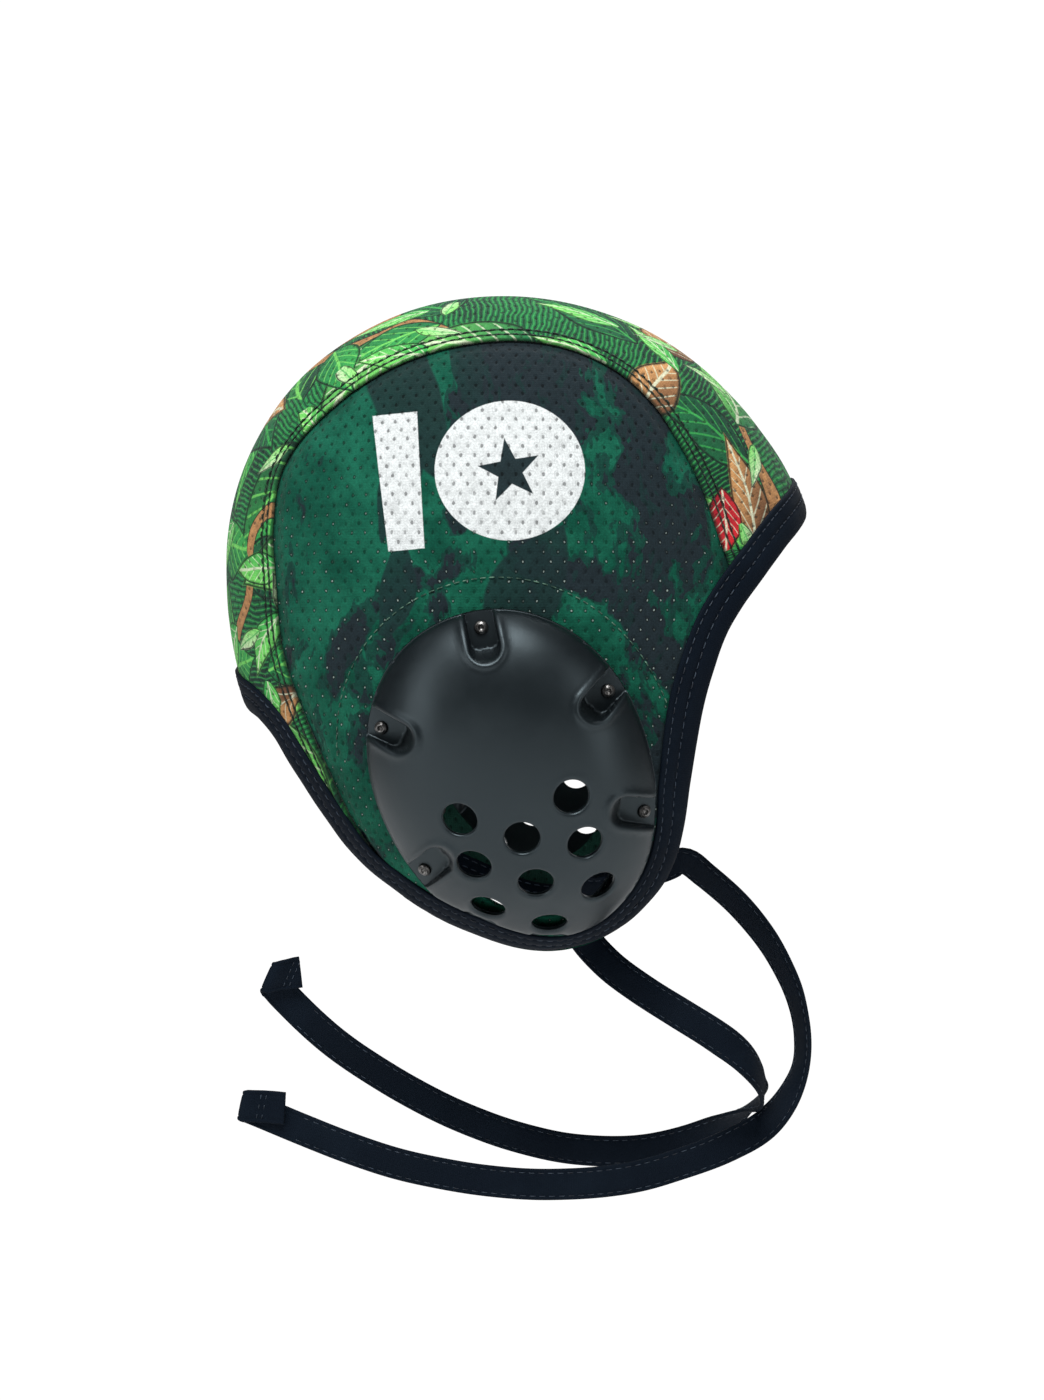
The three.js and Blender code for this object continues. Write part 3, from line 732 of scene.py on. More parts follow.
class Graph:
    """Makes shader nodes in a tree and links them."""

    def __init__(self, tree: NodeTree) -> None:
        """Start in a material's tree or a group."""
        self.tree = tree

    def node(self, kind: str, inputs: dict[str | int, object] | None = None, **settings: object) -> Node:
        """Add a node.

        Args:
            kind: Its type, without the ShaderNode prefix.
            inputs: Values of its inputs, by name or number.
            **settings: Attributes to set on it.

        Returns:
            The node.
        """
        count = len(self.tree.nodes)
        made = self.tree.nodes.new("ShaderNode" + kind)
        made.location = (200 * (count % 12), -260 * (count // 12))
        for key, value in settings.items():
            setattr(made, key, value)
        self.set(made, inputs or {})
        return made

    def set(self, node: Node, inputs: dict[str | int, object]) -> None:
        """Link a node's inputs, or set their own values.

        Args:
            node: The node.
            inputs: Another node's output or a plain value for each, by name or number.
        """
        for key, value in inputs.items():
            source = value.socket if isinstance(value, Signal) else value
            if isinstance(source, NodeSocket):
                self.tree.links.new(source, node.inputs[key])
            else:
                node.inputs[key].default_value = source

    def math(self, operation: str, *values: object, clamp: bool = False) -> Signal:
        """Do arithmetic.

        Args:
            operation: The Math node's operation.
            *values: Its inputs.
            clamp: Whether the result stays from 0 to 1.

        Returns:
            The result.
        """
        made = self.node("Math", dict(enumerate(values)), operation=operation, use_clamp=clamp)
        return Signal(self, made.outputs[0])

    def vector(self, operation: str, *values: object) -> Signal:
        """Do arithmetic on vectors.

        Args:
            operation: The Vector Math node's operation.
            *values: Its vector inputs; for a scaling, the last is the scale.

        Returns:
            The result.
        """
        keys = (0, "Scale") if operation == "SCALE" else (0, 1)
        made = self.node("VectorMath", dict(zip(keys, values)), operation=operation)
        return Signal(self, made.outputs["Value" if operation == "LENGTH" else 0])

    def split(self, vector: object) -> tuple[Signal, ...]:
        """Split a vector.

        Args:
            vector: The vector.

        Returns:
            Its x, y and z.
        """
        return tuple(Signal(self, one) for one in self.node("SeparateXYZ", {0: vector}).outputs)

    def combine(self, x: object, y: object, z: object = 0.0) -> Signal:
        """Make a vector.

        Args:
            x: Its x.
            y: Its y.
            z: Its z.

        Returns:
            The vector.
        """
        return Signal(self, self.node("CombineXYZ", {0: x, 1: y, 2: z}).outputs[0])

    def step(self, value: object, low: float, high: float, start: float = 0.0, end: float = 1.0) -> Signal:
        """Map a value smoothly from one range to another.

        Args:
            value: What is mapped.
            low: Where the range starts.
            high: Where it ends.
            start: The result at its start.
            end: The result at its end.

        Returns:
            The mapped value.
        """
        inputs = dict(enumerate((value, low, high, start, end)))
        return Signal(self, self.node("MapRange", inputs, interpolation_type="SMOOTHSTEP").outputs[0])

    def mix(self, factor: object, first: object, second: object) -> Signal:
        """Mix two colours.

        Args:
            factor: Share of the second.
            first: A colour.
            second: A colour.

        Returns:
            The colour.
        """
        made = self.node("Mix", {0: factor, 6: first, 7: second}, data_type="RGBA")
        return Signal(self, made.outputs[2])

    def noise(self, vector: object, scale: float, detail: float = 2.0, roughness: float = 0.5) -> Signal:
        """Smooth noise.

        Args:
            vector: Where it is read.
            scale: Its waves per metre, about.
            detail: How many finer layers it has.
            roughness: How strong they are.

        Returns:
            Values round a half.
        """
        inputs = {"Vector": vector, "Scale": scale, "Detail": detail, "Roughness": roughness}
        return Signal(self, self.node("TexNoise", inputs).outputs[0])

    def group(self, tree: NodeTree, **values: object) -> dict[str, Signal]:
        """Place a group.

        Args:
            tree: The group.
            **values: Its inputs.

        Returns:
            Its outputs by name.
        """
        made = self.node("Group", values, node_tree=tree)
        return {one.name: Signal(self, one) for one in made.outputs}

    def uv(self, layer: str) -> Signal:
        """Read a UV layer, in metres.

        Args:
            layer: Its name.

        Returns:
            The place on it.
        """
        return self.node("UVMap", uv_map=layer).outputs[0]

    def bump(self, height: object, depth: float, strength: float) -> NodeSocket:
        """Fine relief.

        Args:
            height: Heights from 0 to 1.
            depth: Millimetres between them.
            strength: How much of it shows.

        Returns:
            The normals.
        """
        return self.node("Bump", {"Strength": strength, "Distance": depth * MM, "Height": height}).outputs[0]


SOCKETS = {"value": "NodeSocketFloat", "vector": "NodeSocketVector"}


def new_group(
    name: str, inputs: dict[str, str], outputs: Sequence[str]
) -> tuple[Graph, list[Signal], Node]:
    """Start a shader node group.

    Args:
        name: Its name.
        inputs: Kind of each input, by name.
        outputs: Names of its outputs, which are values.

    Returns:
        Its graph, its inputs as signals, and its output node.
    """
    tree = bpy.data.node_groups.new(name, "ShaderNodeTree")
    for label, kind in inputs.items():
        tree.interface.new_socket(name=label, in_out="INPUT", socket_type=SOCKETS[kind])
    for label in outputs:
        tree.interface.new_socket(name=label, in_out="OUTPUT", socket_type=SOCKETS["value"])
    graph = Graph(tree)
    start, end = tree.nodes.new("NodeGroupInput"), tree.nodes.new("NodeGroupOutput")
    end.location = (2600, 0)
    return graph, [Signal(graph, one) for one in start.outputs[:-1]], end


class SharedGroups:
    """The shader node groups that more than one finish uses."""

    def __init__(self) -> None:
        """Build each group once."""
        self.eyelets = self._eyelets()
        self.knit = self._knit()
        self.leaves = self._leaves()
        self.wear = self._wear()

    @staticmethod
    def _eyelets() -> NodeTree:
        """Staggered small holes of the knitted mesh."""
        g, inputs, end = new_group(
            "mesh_eyelets",
            {"Place": "vector", "Across": "value", "Down": "value", "Hole": "value"},
            ("Mask", "Core", "Rim", "Chance"),
        )
        place, across, down, hole = inputs
        wander = g.noise(place, 900.0, 1.0)
        x, y, _ = g.split(place)
        x = x + (wander - 0.5) * 0.0007
        distances, chances = [], []
        for shift in (0.0, 0.5):
            u = x / across + shift
            v = y / down + shift
            du = (g.math("FRACT", u) - 0.5) * (across * 1.45)
            dv = (g.math("FRACT", v) - 0.5) * down
            distances.append(g.vector("LENGTH", g.combine(du, dv)))
            corner = g.combine(g.math("FLOOR", u), g.math("FLOOR", v), shift)
            cell = g.node("TexWhiteNoise", {0: corner}, noise_dimensions="3D")
            chances.append(cell.outputs[0])
        nearest = g.math("MINIMUM", *distances) / hole
        first = g.math("LESS_THAN", *distances)
        chance = g.node("Mix", {0: first, 2: chances[1], 3: chances[0]}, data_type="FLOAT")
        mask, core, rim = g.step(nearest, 1.25, 0.7), g.step(nearest, 0.6, 0.25), g.step(nearest, 2.1, 1.1)
        g.set(end, {"Mask": mask, "Core": core, "Rim": rim, "Chance": chance.outputs[0]})
        return g.tree

    @staticmethod
    def _knit() -> NodeTree:
        """Fine loops of the knit: a height and a light and dark grain."""
        g, inputs, end = new_group(
            "knit_grain", {"Place": "vector", "Pitch": "value"}, ("Height", "Grain")
        )
        place, pitch = inputs
        x, y, _ = g.split(place)
        turn = 6.2832 / pitch
        rib = g.math("SINE", x * turn)
        loop = g.math("SINE", y * turn + rib * 0.9)
        height = (rib + loop) * 0.25
        g.set(end, {"Height": height + 0.5})
        fine = g.noise(place, 1500.0, 3.0, 0.65)
        broad = g.noise(place, 210.0, 3.0, 0.6)
        g.set(end, {"Grain": fine * 0.65 + broad * 0.35})
        return g.tree

    @staticmethod
    def _leaves() -> NodeTree:
        """A scatter of single leaves with a midrib, side veins and a dark outline."""
        g, inputs, end = new_group(
            "leaf_scatter",
            {"Place": "vector"} | dict.fromkeys(("Scale", "Shift", "Lean", "Spread", "Width"), "value"),
            ("Leaf", "Line", "Shade", "Chance"),
        )
        place, scale, shift, lean, spread, width = inputs
        where = g.vector("ADD", g.vector("SCALE", place, scale), g.combine(shift, shift * 1.7))
        bend = g.node("TexNoise", {"Vector": where, "Scale": 1.3, "Detail": 1.0})
        push = g.vector("SUBTRACT", bend.outputs[1], (0.5, 0.5, 0.5))
        pushed = g.vector("ADD", where, g.vector("SCALE", push, 0.22))
        spread_out = {"Vector": pushed, "Scale": 1.0, "Randomness": 0.7}
        cells = g.node("TexVoronoi", spread_out, voronoi_dimensions="2D", feature="F1")
        red, green, _ = g.split(cells.outputs["Color"])
        local = g.vector("SUBTRACT", pushed, cells.outputs["Position"])
        angle = lean + (red - 0.5) * spread
        turned = g.node("VectorRotate", {"Vector": local, "Angle": angle}, rotation_type="Z_AXIS")
        x, y, _ = g.split(turned.outputs[0])
        half = 0.52
        along = x / half
        arch = 1.0 - along * along
        taper = 1.0 + along * -0.55
        edge = arch * taper * width
        rib_side = abs(y)
        inside = edge - rib_side
        leaf = g.step(inside, 0.0, 0.018)
        outline = leaf * g.step(inside, 0.05, 0.02)
        midrib = g.step(rib_side, 0.02, 0.008)
        slant = x * 42.0 - rib_side * 60.0
        veins = g.step(g.math("SINE", slant), 0.78, 0.98, 0.0, 0.75)
        lines = g.math("MULTIPLY", g.math("MAXIMUM", midrib, veins), leaf - outline, clamp=True)
        g.set(end, {"Leaf": leaf, "Line": lines - outline})
        shade = along * 0.35 + g.step(y, -0.12, 0.12) * 0.45
        g.set(end, {"Shade": g.math("ADD", shade, 0.25, clamp=True), "Chance": green})
        return g.tree

    @staticmethod
    def _wear() -> NodeTree:
        """Dust, rubbing and slight unevenness of a used surface."""
        g, inputs, end = new_group(
            "soft_wear", {"Place": "vector", "Amount": "value"}, ("Dust", "Rough", "Height")
        )
        place, amount = inputs
        cloud = g.noise(place, 38.0, 5.0, 0.6)
        specks = g.noise(place, 2600.0, 2.0, 0.7)
        dust = g.step(cloud, 0.42, 0.72) * amount
        g.set(end, {"Dust": dust, "Rough": (cloud - 0.5) * amount, "Height": specks})
        return g.tree


class MaterialGraph(Graph):
    """The graph of one new material, with its shader and the shared groups."""

    def __init__(self, name: str, groups: SharedGroups | None = None) -> None:
        """Start a material.

        Args:
            name: Its name.
            groups: The shared groups that it may use.
        """
        self.material = bpy.data.materials.new(name)
        self.material.use_nodes = True
        super().__init__(self.material.node_tree)
        self.groups = groups
        self.shader = self.tree.nodes["Principled BSDF"]
        self.shader.location = (2600, 0)

    def finish(self, inputs: dict[str | int, object]) -> Material:
        """Set the shader's inputs.

        Args:
            inputs: Their values by name.

        Returns:
            The material.
        """
        self.set(self.shader, inputs)
        return self.material


@dataclass(frozen=True)
class MeshCloth:
    """What all the cap's knitted mesh has in common."""

    across: float = 4.1
    down: float = 5.8
    hole: float = 0.68
    knit_pitch: float = 0.75
    roughness: float = 0.86
    sheen: float = 0.05
    gloss: float = 0.1

    def finish(self, graph: MaterialGraph, print_colour: object, painted_light_specks: object) -> Material:
        """Knit a print into mesh cloth, with painted shade in its holes and painted light in some of their
        cores.

        Args:
            graph: The material's graph.
            print_colour: Colour of the print.
            painted_light_specks: Share of the holes whose cores get painted light, as if lit space showed
                through them.

        Returns:
            The material.
        """
        place = graph.uv("cloth")
        size = {"Across": self.across * MM, "Down": self.down * MM, "Hole": self.hole * MM}
        holes = graph.group(graph.groups.eyelets, Place=place, **size)
        knit = graph.group(graph.groups.knit, Place=place, Pitch=self.knit_pitch * MM)
        tone = graph.vector("SCALE", print_colour, graph.step(knit["Grain"], 0.3, 0.7, 0.74, 1.24))
        # Painted shade: most holes are darkened to about a fifth of the print, for the dark inside seen
        # through them.
        shown = holes["Mask"] * graph.step(holes["Chance"], 0.0, 0.6, 0.5, 0.85)
        dark = graph.mix(shown, tone, graph.vector("SCALE", tone, 0.22))
        # Painted light: the cores of some holes are painted pale, for light seen through them.
        bright = graph.step(holes["Chance"], 0.3, 0.9) * painted_light_specks
        return graph.finish({
            "Base Color": graph.mix(holes["Core"] * bright, dark, (0.3, 0.37, 0.34, 1)),
            "Roughness": self.roughness + holes["Mask"] * 0.1,
            "Sheen Weight": self.sheen,
            "Sheen Roughness": 0.5,
            "Specular IOR Level": self.gloss,
            "Normal": graph.bump(knit["Height"] * 0.35 - holes["Rim"], 0.28, 0.7),
        })


DEEP: Colour = (0.006, 0.05, 0.028, 1)
MID: Colour = (0.012, 0.15, 0.05, 1)
BRIGHT: Colour = (0.045, 0.4, 0.08, 1)
LIME: Colour = (0.2, 0.68, 0.13, 1)
TAN: Colour = (0.72, 0.37, 0.14, 1)
BROWN: Colour = (0.11, 0.045, 0.025, 1)
RED: Colour = (0.7, 0.025, 0.035, 1)
PALE: Colour = (0.7, 0.76, 0.55, 1)


@dataclass(frozen=True)
class Scatter:
    """One layer of like leaves in a print."""

    dark: Colour
    light: Colour
    vein: Colour
    keep: float
    scale: float
    shift: float
    lean: float
    spread: float
    width: float
    stems_over: bool = False

    def blades(self, graph: MaterialGraph, place: object) -> dict[str, Signal]:
        """Outputs of the leaf group for this layer.

        Args:
            graph: The material's graph.
            place: Where the leaves lie.

        Returns:
            Its signals by name, and the kept leaves as Kept.
        """
        sizes = {"Scale": self.scale, "Shift": self.shift, "Lean": self.lean, "Spread": self.spread}
        found = graph.group(graph.groups.leaves, Place=place, Width=self.width, **sizes)
        found["Kept"] = found["Leaf"] * graph.math("LESS_THAN", found["Chance"], self.keep)
        return found


@dataclass(frozen=True)
class CrownPrint:
    """Leaf print of the crown panel, in bright greens with tan, brown, red and white, with painted shade along
    its stitch grooves and lapped edge.
    """

    deep: Colour = DEEP
    mid: Colour = MID
    bright: Colour = BRIGHT
    ink: Colour = (0.004, 0.016, 0.01, 1)
    cloth: MeshCloth = MeshCloth(sheen=0.06, gloss=0.14)
    # Distances from the lapped edge of the painted shade lines along the stitch grooves.
    stitch_shade_lines: tuple[float, float] = (2.6, 5.2)
    scatters: tuple[Scatter, ...] = (
        Scatter(DEEP, BRIGHT, LIME, 0.95, 18.0, 3.1, 0.5, 2.6, 0.27),
        Scatter(DEEP, MID, BRIGHT, 0.75, 25.0, 17.7, -0.4, 3.2, 0.26, stems_over=True),
        Scatter(MID, LIME, PALE, 0.6, 21.0, 41.3, 0.2, 2.4, 0.25),
        Scatter(MID, BRIGHT, LIME, 0.55, 30.0, 11.4, -0.7, 2.2, 0.24),
        Scatter(BROWN, TAN, PALE, 0.3, 27.0, 5.3, -0.2, 5.0, 0.22),
        Scatter(BRIGHT, LIME, PALE, 0.5, 37.0, 23.9, 0.9, 3.0, 0.2),
        Scatter((0.3, 0.01, 0.02, 1), RED, PALE, 0.2, 37.0, 31.7, 0.3, 6.0, 0.22),
        Scatter(LIME, PALE, BRIGHT, 0.18, 54.0, 47.2, 1.4, 6.0, 0.16),
    )

    def layer(self, graph: MaterialGraph, under: object, shape: Scatter) -> Signal:
        """Print one scatter of leaves over what is there.

        Args:
            graph: The material's graph.
            under: Colour so far.
            shape: The scatter.

        Returns:
            The new colour.
        """
        leaves = shape.blades(graph, graph.uv("cloth"))
        body = graph.mix(leaves["Shade"], shape.dark, shape.light)
        lined = graph.mix(graph.math("MULTIPLY", leaves["Line"], 0.8, clamp=True), body, shape.vein)
        inked = graph.mix(graph.math("MULTIPLY", leaves["Line"], -0.95, clamp=True), lined, self.ink)
        return graph.mix(leaves["Kept"], under, inked)

    def stems(self, graph: MaterialGraph, under: object) -> Signal:
        """Print winding stems over what is there.

        Args:
            graph: The material's graph.
            under: Colour so far.

        Returns:
            The new colour.
        """
        place = graph.uv("cloth")
        bends = {"Vector": place, "Scale": 5.2, "Distortion": 7.0, "Detail": 1.0, "Detail Scale": 3.2}
        ridge = graph.node("TexWave", bends, wave_type="BANDS", bands_direction="DIAGONAL").outputs[1]
        bark = graph.mix(graph.noise(place, 330.0, 3.0), BROWN, TAN)
        rim = graph.mix(graph.step(ridge, 0.945, 0.955), under, self.ink)
        return graph.mix(graph.step(ridge, 0.957, 0.972), rim, bark)

    def material(self, groups: SharedGroups) -> Material:
        """Make the finish.

        Args:
            groups: The shared groups.

        Returns:
            Its material.
        """
        graph = MaterialGraph("crown_leaf_print", groups)
        place = graph.uv("cloth")
        colour = graph.mix(graph.step(graph.noise(place, 26.0, 3.0, 0.55), 0.38, 0.62), self.deep, self.mid)
        bends = {"Vector": place, "Scale": 190.0, "Distortion": 9.0, "Detail": 2.0, "Detail Scale": 0.35}
        hatch = graph.node("TexWave", bends, wave_type="BANDS", bands_direction="X").outputs[1]
        colour = graph.mix(graph.step(hatch, 0.72, 0.95, 0.0, 0.55), colour, self.bright)
        colour = graph.mix(graph.step(hatch, 0.22, 0.06, 0.0, 0.75), colour, self.ink)
        for shape in self.scatters:
            colour = self.layer(graph, colour, shape)
            if shape.stems_over:
                colour = self.stems(graph, colour)
        # Painted shade: dark lines along the two stitch grooves.
        from_seam = graph.split(graph.uv("hem"))[0]
        for line in self.stitch_shade_lines:
            away = abs(from_seam - line * MM)
            colour = graph.mix(graph.step(away, 0.0007, 0.0002, 0.0, 0.85), colour, self.ink)
        # Painted shade: a dark band along the crown's lapped edge.
        colour = graph.mix(graph.step(from_seam, 0.0012, 0.0002, 0.0, 0.75), colour, self.ink)
        # A little painted light in the cores of the mesh holes.
        return self.cloth.finish(graph, colour, 0.1)


@dataclass(frozen=True)
class SidePrint:
    """Side panel print: dark green with near-black blotches and a plain white number."""

    green: Colour = (0.0015, 0.06, 0.036, 1)
    light: Colour = (0.008, 0.12, 0.07, 1)
    dusk: Colour = (0.006, 0.03, 0.027, 1)
    black: Colour = (0.012, 0.021, 0.026, 1)
    ink: Colour = (0.014, 0.026, 0.03, 1)
    white: Colour = (0.66, 0.69, 0.69, 1)
    disc: tuple[float, float, float, float] = (1.1, -48.9, 22.2, 20.2)
    bar: tuple[float, float, float, float] = (-31.3, -52.4, 6.1, 19.9)
    bar_lean: float = 5.5
    star: tuple[float, float] = (9.6, 10.0)
    cloth: MeshCloth = MeshCloth()
    plumes: tuple[Scatter, ...] = (
        Scatter((0.011, 0.02, 0.024, 1), (0.008, 0.026, 0.026, 1), DEEP, 0.34, 17.0, 8.6, 1.5, 1.4, 0.17),
        Scatter((0.002, 0.055, 0.036, 1), (0.005, 0.085, 0.055, 1), DEEP, 0.42, 21.0, 4.9, 1.2, 2.2, 0.16),
        Scatter((0.011, 0.02, 0.024, 1), (0.007, 0.03, 0.028, 1), DEEP, 0.3, 28.0, 33.3, 1.8, 1.2, 0.14),
    )

    def disc_mask(self, graph: Graph, x: Signal, z: Signal) -> Signal:
        """Round figure of the number.

        Args:
            graph: The material's graph.
            x: Distance ahead on the print, in metres.
            z: Height on it.

        Returns:
            Its mask.
        """
        middle_x, middle_z, half_x, half_z = (value * MM for value in self.disc)
        dx = (x - middle_x) / half_x
        dz = (z - middle_z) / half_z
        return graph.step(graph.vector("LENGTH", graph.combine(dx, dz)), 1.006, 0.994)

    def star_mask(self, graph: Graph, x: Signal, z: Signal) -> Signal:
        """Plain five-pointed counter of the round figure.

        Args:
            graph: The material's graph.
            x: Distance ahead on the print, in metres.
            z: Height on it.

        Returns:
            Its mask.
        """
        dx = x - (self.disc[0] * MM)
        dz = z - (self.disc[1] * MM)
        radius, turn = self.star[0] * MM, math.radians(self.star[1])
        fifth = 2 * math.pi / 5
        angle = graph.math("ARCTAN2", dz, dx) - (turn + math.pi / 2)
        part = graph.math("FRACT", angle / fifth + 5.5)
        around = abs(part - 0.5) * fifth
        reach = graph.vector("LENGTH", graph.combine(dx, dz))
        inner = 0.4 * radius
        edge = (inner * math.cos(fifth / 2) - radius, inner * math.sin(fifth / 2))
        size = math.hypot(*edge)
        ahead = reach * graph.math("COSINE", around) - radius
        aside = reach * graph.math("SINE", around)
        beyond = ahead * (edge[1] / size) - aside * (edge[0] / size)
        return graph.step(beyond, 0.15 * MM, -0.15 * MM)

    def bar_mask(self, graph: Graph, x: Signal, z: Signal) -> Signal:
        """Upright bar of the number.

        Args:
            graph: The material's graph.
            x: Distance ahead on the print, in metres.
            z: Height on it.

        Returns:
            Its mask.
        """
        middle_x, middle_z, half_x, half_z = (value * MM for value in self.bar)
        dx = x - middle_x
        dz = z - middle_z
        lean = math.tan(math.radians(self.bar_lean))
        side = abs(dx + dz * lean)
        rise = abs(dz - dx * 0.11)
        width = half_x - dz * -0.035
        beyond = graph.math("MAXIMUM", side - width, rise - half_z)
        return graph.step(beyond, 0.15 * MM, -0.15 * MM)

    def material(self, groups: SharedGroups) -> Material:
        """Make the finish.

        Args:
            groups: The shared groups.

        Returns:
            Its material.
        """
        graph = MaterialGraph("side_camouflage", groups)
        flat = graph.uv("print")
        x, z, _ = graph.split(flat)
        bend = graph.node("TexNoise", {"Vector": flat, "Scale": 24.0, "Detail": 4.0}).outputs[1]
        wander = graph.vector("SCALE", graph.vector("SUBTRACT", bend, (0.5, 0.5, 0.5)), 0.03)
        pushed = graph.vector("ADD", flat, wander)
        blotch = graph.noise(graph.vector("MULTIPLY", pushed, (1.0, 0.5, 1.0)), 31.0, 2.0, 0.5)
        streak = graph.noise(graph.vector("MULTIPLY", pushed, (1.0, 0.22, 1.0)), 120.0, 3.0, 0.6)
        brush = graph.noise(graph.vector("MULTIPLY", pushed, (1.0, 0.4, 1.0)), 260.0, 3.0, 0.6)
        near = graph.split(graph.uv("hem"))[0]
        band = graph.step(near, 0.009, 0.012) * graph.step(near, 0.024, 0.016)
        crown = graph.step(z, -0.042, -0.022) * graph.step(x, -0.02, -0.008) * graph.step(x, 0.03, 0.016)
        fore, aft = graph.step(x, 0.014, 0.05), graph.step(x, 0.0, -0.03)
        lean = band * 0.12 + fore * 0.01 - aft * 0.03 + crown * 0.12
        shape = blotch + (streak - 0.5) * 0.42 + lean
        fine = shape + (brush - 0.5) * 0.26
        green = graph.mix(graph.step(graph.noise(flat, 60.0, 4.0, 0.65), 0.35, 0.7), self.green, self.light)
        shaded = graph.mix(graph.step(fine, 0.522, 0.534, 0.0, 0.7), green, self.dusk)
        ground = graph.mix(graph.step(fine, 0.563, 0.573), shaded, self.black)
        lines = graph.step(brush, 0.56, 0.6) * graph.step(shape, 0.5, 0.62)
        ground = graph.mix(lines * 0.55, ground, self.dusk)
        ragged = graph.vector("ADD", flat, graph.vector("SCALE", wander, 0.22))
        for plume in self.plumes:
            blades = plume.blades(graph, ragged)
            tone = graph.mix(blades["Shade"] * 0.7, plume.light, plume.dark)
            ground = graph.mix(blades["Kept"] * 0.9, ground, tone)
        figure = graph.math("MAXIMUM", self.disc_mask(graph, x, z), self.bar_mask(graph, x, z))
        counter = self.star_mask(graph, x, z)
        colour = graph.mix(counter, graph.mix(figure, ground, self.white), self.ink)
        number = graph.math("MAXIMUM", figure, counter)
        # Painted light in the cores of the mesh holes, more of it toward the bottom of the panel and none on
        # the number.
        return self.cloth.finish(graph, colour, graph.step(z, -0.035, -0.09, 0.0, 0.9) * (1.0 - number))


@dataclass(frozen=True)
class ClothBack:
    """Plain dark green back of the printed cloth."""

    colour: Colour = (0.012, 0.06, 0.042, 1)
    cloth: MeshCloth = MeshCloth(sheen=0.05)

    def material(self, groups: SharedGroups) -> Material:
        """Make the finish.

        Args:
            groups: The shared groups.

        Returns:
            Its material.
        """
        graph = MaterialGraph("cloth_back", groups)
        tone = graph.noise(graph.uv("cloth"), 45.0, 3.0, 0.6)
        colour = graph.mix(graph.step(tone, 0.3, 0.7), self.colour, (0.007, 0.035, 0.026, 1))
        return self.cloth.finish(graph, colour, 0.0)


@dataclass(frozen=True)
class TapeFinish:
    """Woven tape of the binding and the ties."""

    colour: Colour = (0.0012, 0.0042, 0.0095, 1)
    light: Colour = (0.0045, 0.0095, 0.0175, 1)
    rib: float = 0.55

    def material(self, groups: SharedGroups) -> Material:
        """Make the finish.

        Args:
            groups: The shared groups.

        Returns:
            Its material.
        """
        graph = MaterialGraph("woven_tape", groups)
        place = graph.uv("tape")
        x, y, _ = graph.split(place)
        turn = 2 * math.pi / (self.rib * MM)
        weave = (graph.math("SINE", x * turn) + graph.math("SINE", x * (turn * 0.5) + y * turn)) * 0.25
        wear = graph.group(groups.wear, Place=place, Amount=0.6)
        lint = graph.noise(place, 1900.0, 3.0, 0.7)
        tone = weave * 0.5 + (wear["Dust"] + 0.2)
        colour = graph.mix(graph.math("MULTIPLY", tone, 1.0, clamp=True), self.colour, self.light)
        return graph.finish({
            "Base Color": graph.mix(graph.step(lint, 0.68, 0.82, 0.0, 0.12), colour, (0.05, 0.065, 0.08, 1)),
            "Roughness": 0.7 + wear["Rough"] * 0.3,
            "Sheen Weight": 0.01,
            "Sheen Roughness": 0.45,
            "Specular IOR Level": 0.08,
            "Normal": graph.bump(weave + lint * 0.5, 0.12, 0.6),
        })


@dataclass(frozen=True)
class ThreadFinish:
    """Sewing thread."""

    name: str
    colour: Colour
    light: Colour

    def material(self, groups: SharedGroups) -> Material:
        """Make the finish.

        Args:
            groups: The shared groups.

        Returns:
            Its material.
        """
        graph = MaterialGraph(self.name, groups)
        place = graph.node("TexCoord").outputs["Object"]
        wear = graph.group(groups.wear, Place=place, Amount=0.5)
        tone = graph.noise(place, 420.0, 2.0, 0.6)
        return graph.finish({
            "Base Color": graph.mix(graph.step(tone, 0.35, 0.65), self.colour, self.light),
            "Roughness": 0.55 + wear["Rough"],
            "Specular IOR Level": 0.4,
            "Normal": graph.bump(wear["Height"], 0.05, 0.5),
        })


@dataclass(frozen=True)
class GuardFinish:
    """Satin charcoal plastic with a fine moulded grain."""

    colour: Colour = (0.0018, 0.0032, 0.0045, 1)
    dusty: Colour = (0.004, 0.006, 0.0075, 1)
    roughness: float = 0.41

    def material(self, groups: SharedGroups) -> Material:
        """Make the finish.

        Args:
            groups: The shared groups.

        Returns:
            Its material.
        """
        graph = MaterialGraph("satin_charcoal_plastic", groups)
        place = graph.node("TexCoord").outputs["Object"]
        wear = graph.group(groups.wear, Place=place, Amount=1.0)
        slow = graph.noise(place, 160.0, 3.0, 0.6)
        return graph.finish({
            "Base Color": graph.mix(wear["Dust"], self.colour, self.dusty),
            "Roughness": self.roughness + wear["Rough"] * 0.35,
            "Specular IOR Level": 0.66,
            "Specular Tint": (0.74, 0.92, 1.0, 1),
            "Normal": graph.bump(wear["Height"] * 0.4 + slow, 0.05, 0.55),
        })


@dataclass(frozen=True)
class RivetFinish:
    """Dull plated steel with dark grimy spots."""

    colour: Colour = (0.2, 0.195, 0.19, 1)
    grime: Colour = (0.03, 0.027, 0.025, 1)

    def material(self, groups: SharedGroups) -> Material:
        """Make the finish.

        Args:
            groups: The shared groups.

        Returns:
            Its material.
        """
        graph = MaterialGraph("plated_rivet", groups)
        place = graph.node("TexCoord").outputs["Object"]
        wear = graph.group(groups.wear, Place=place, Amount=1.0)
        spots = graph.noise(place, 900.0, 3.0, 0.6)
        return graph.finish({
            "Base Color": graph.mix(graph.step(spots, 0.45, 0.7), self.colour, self.grime),
            "Metallic": graph.step(spots, 0.7, 0.45, 0.4, 1.0),
            "Roughness": 0.32 + wear["Rough"] * 0.5,
            "Normal": graph.bump(wear["Height"], 0.04, 0.5),
        })


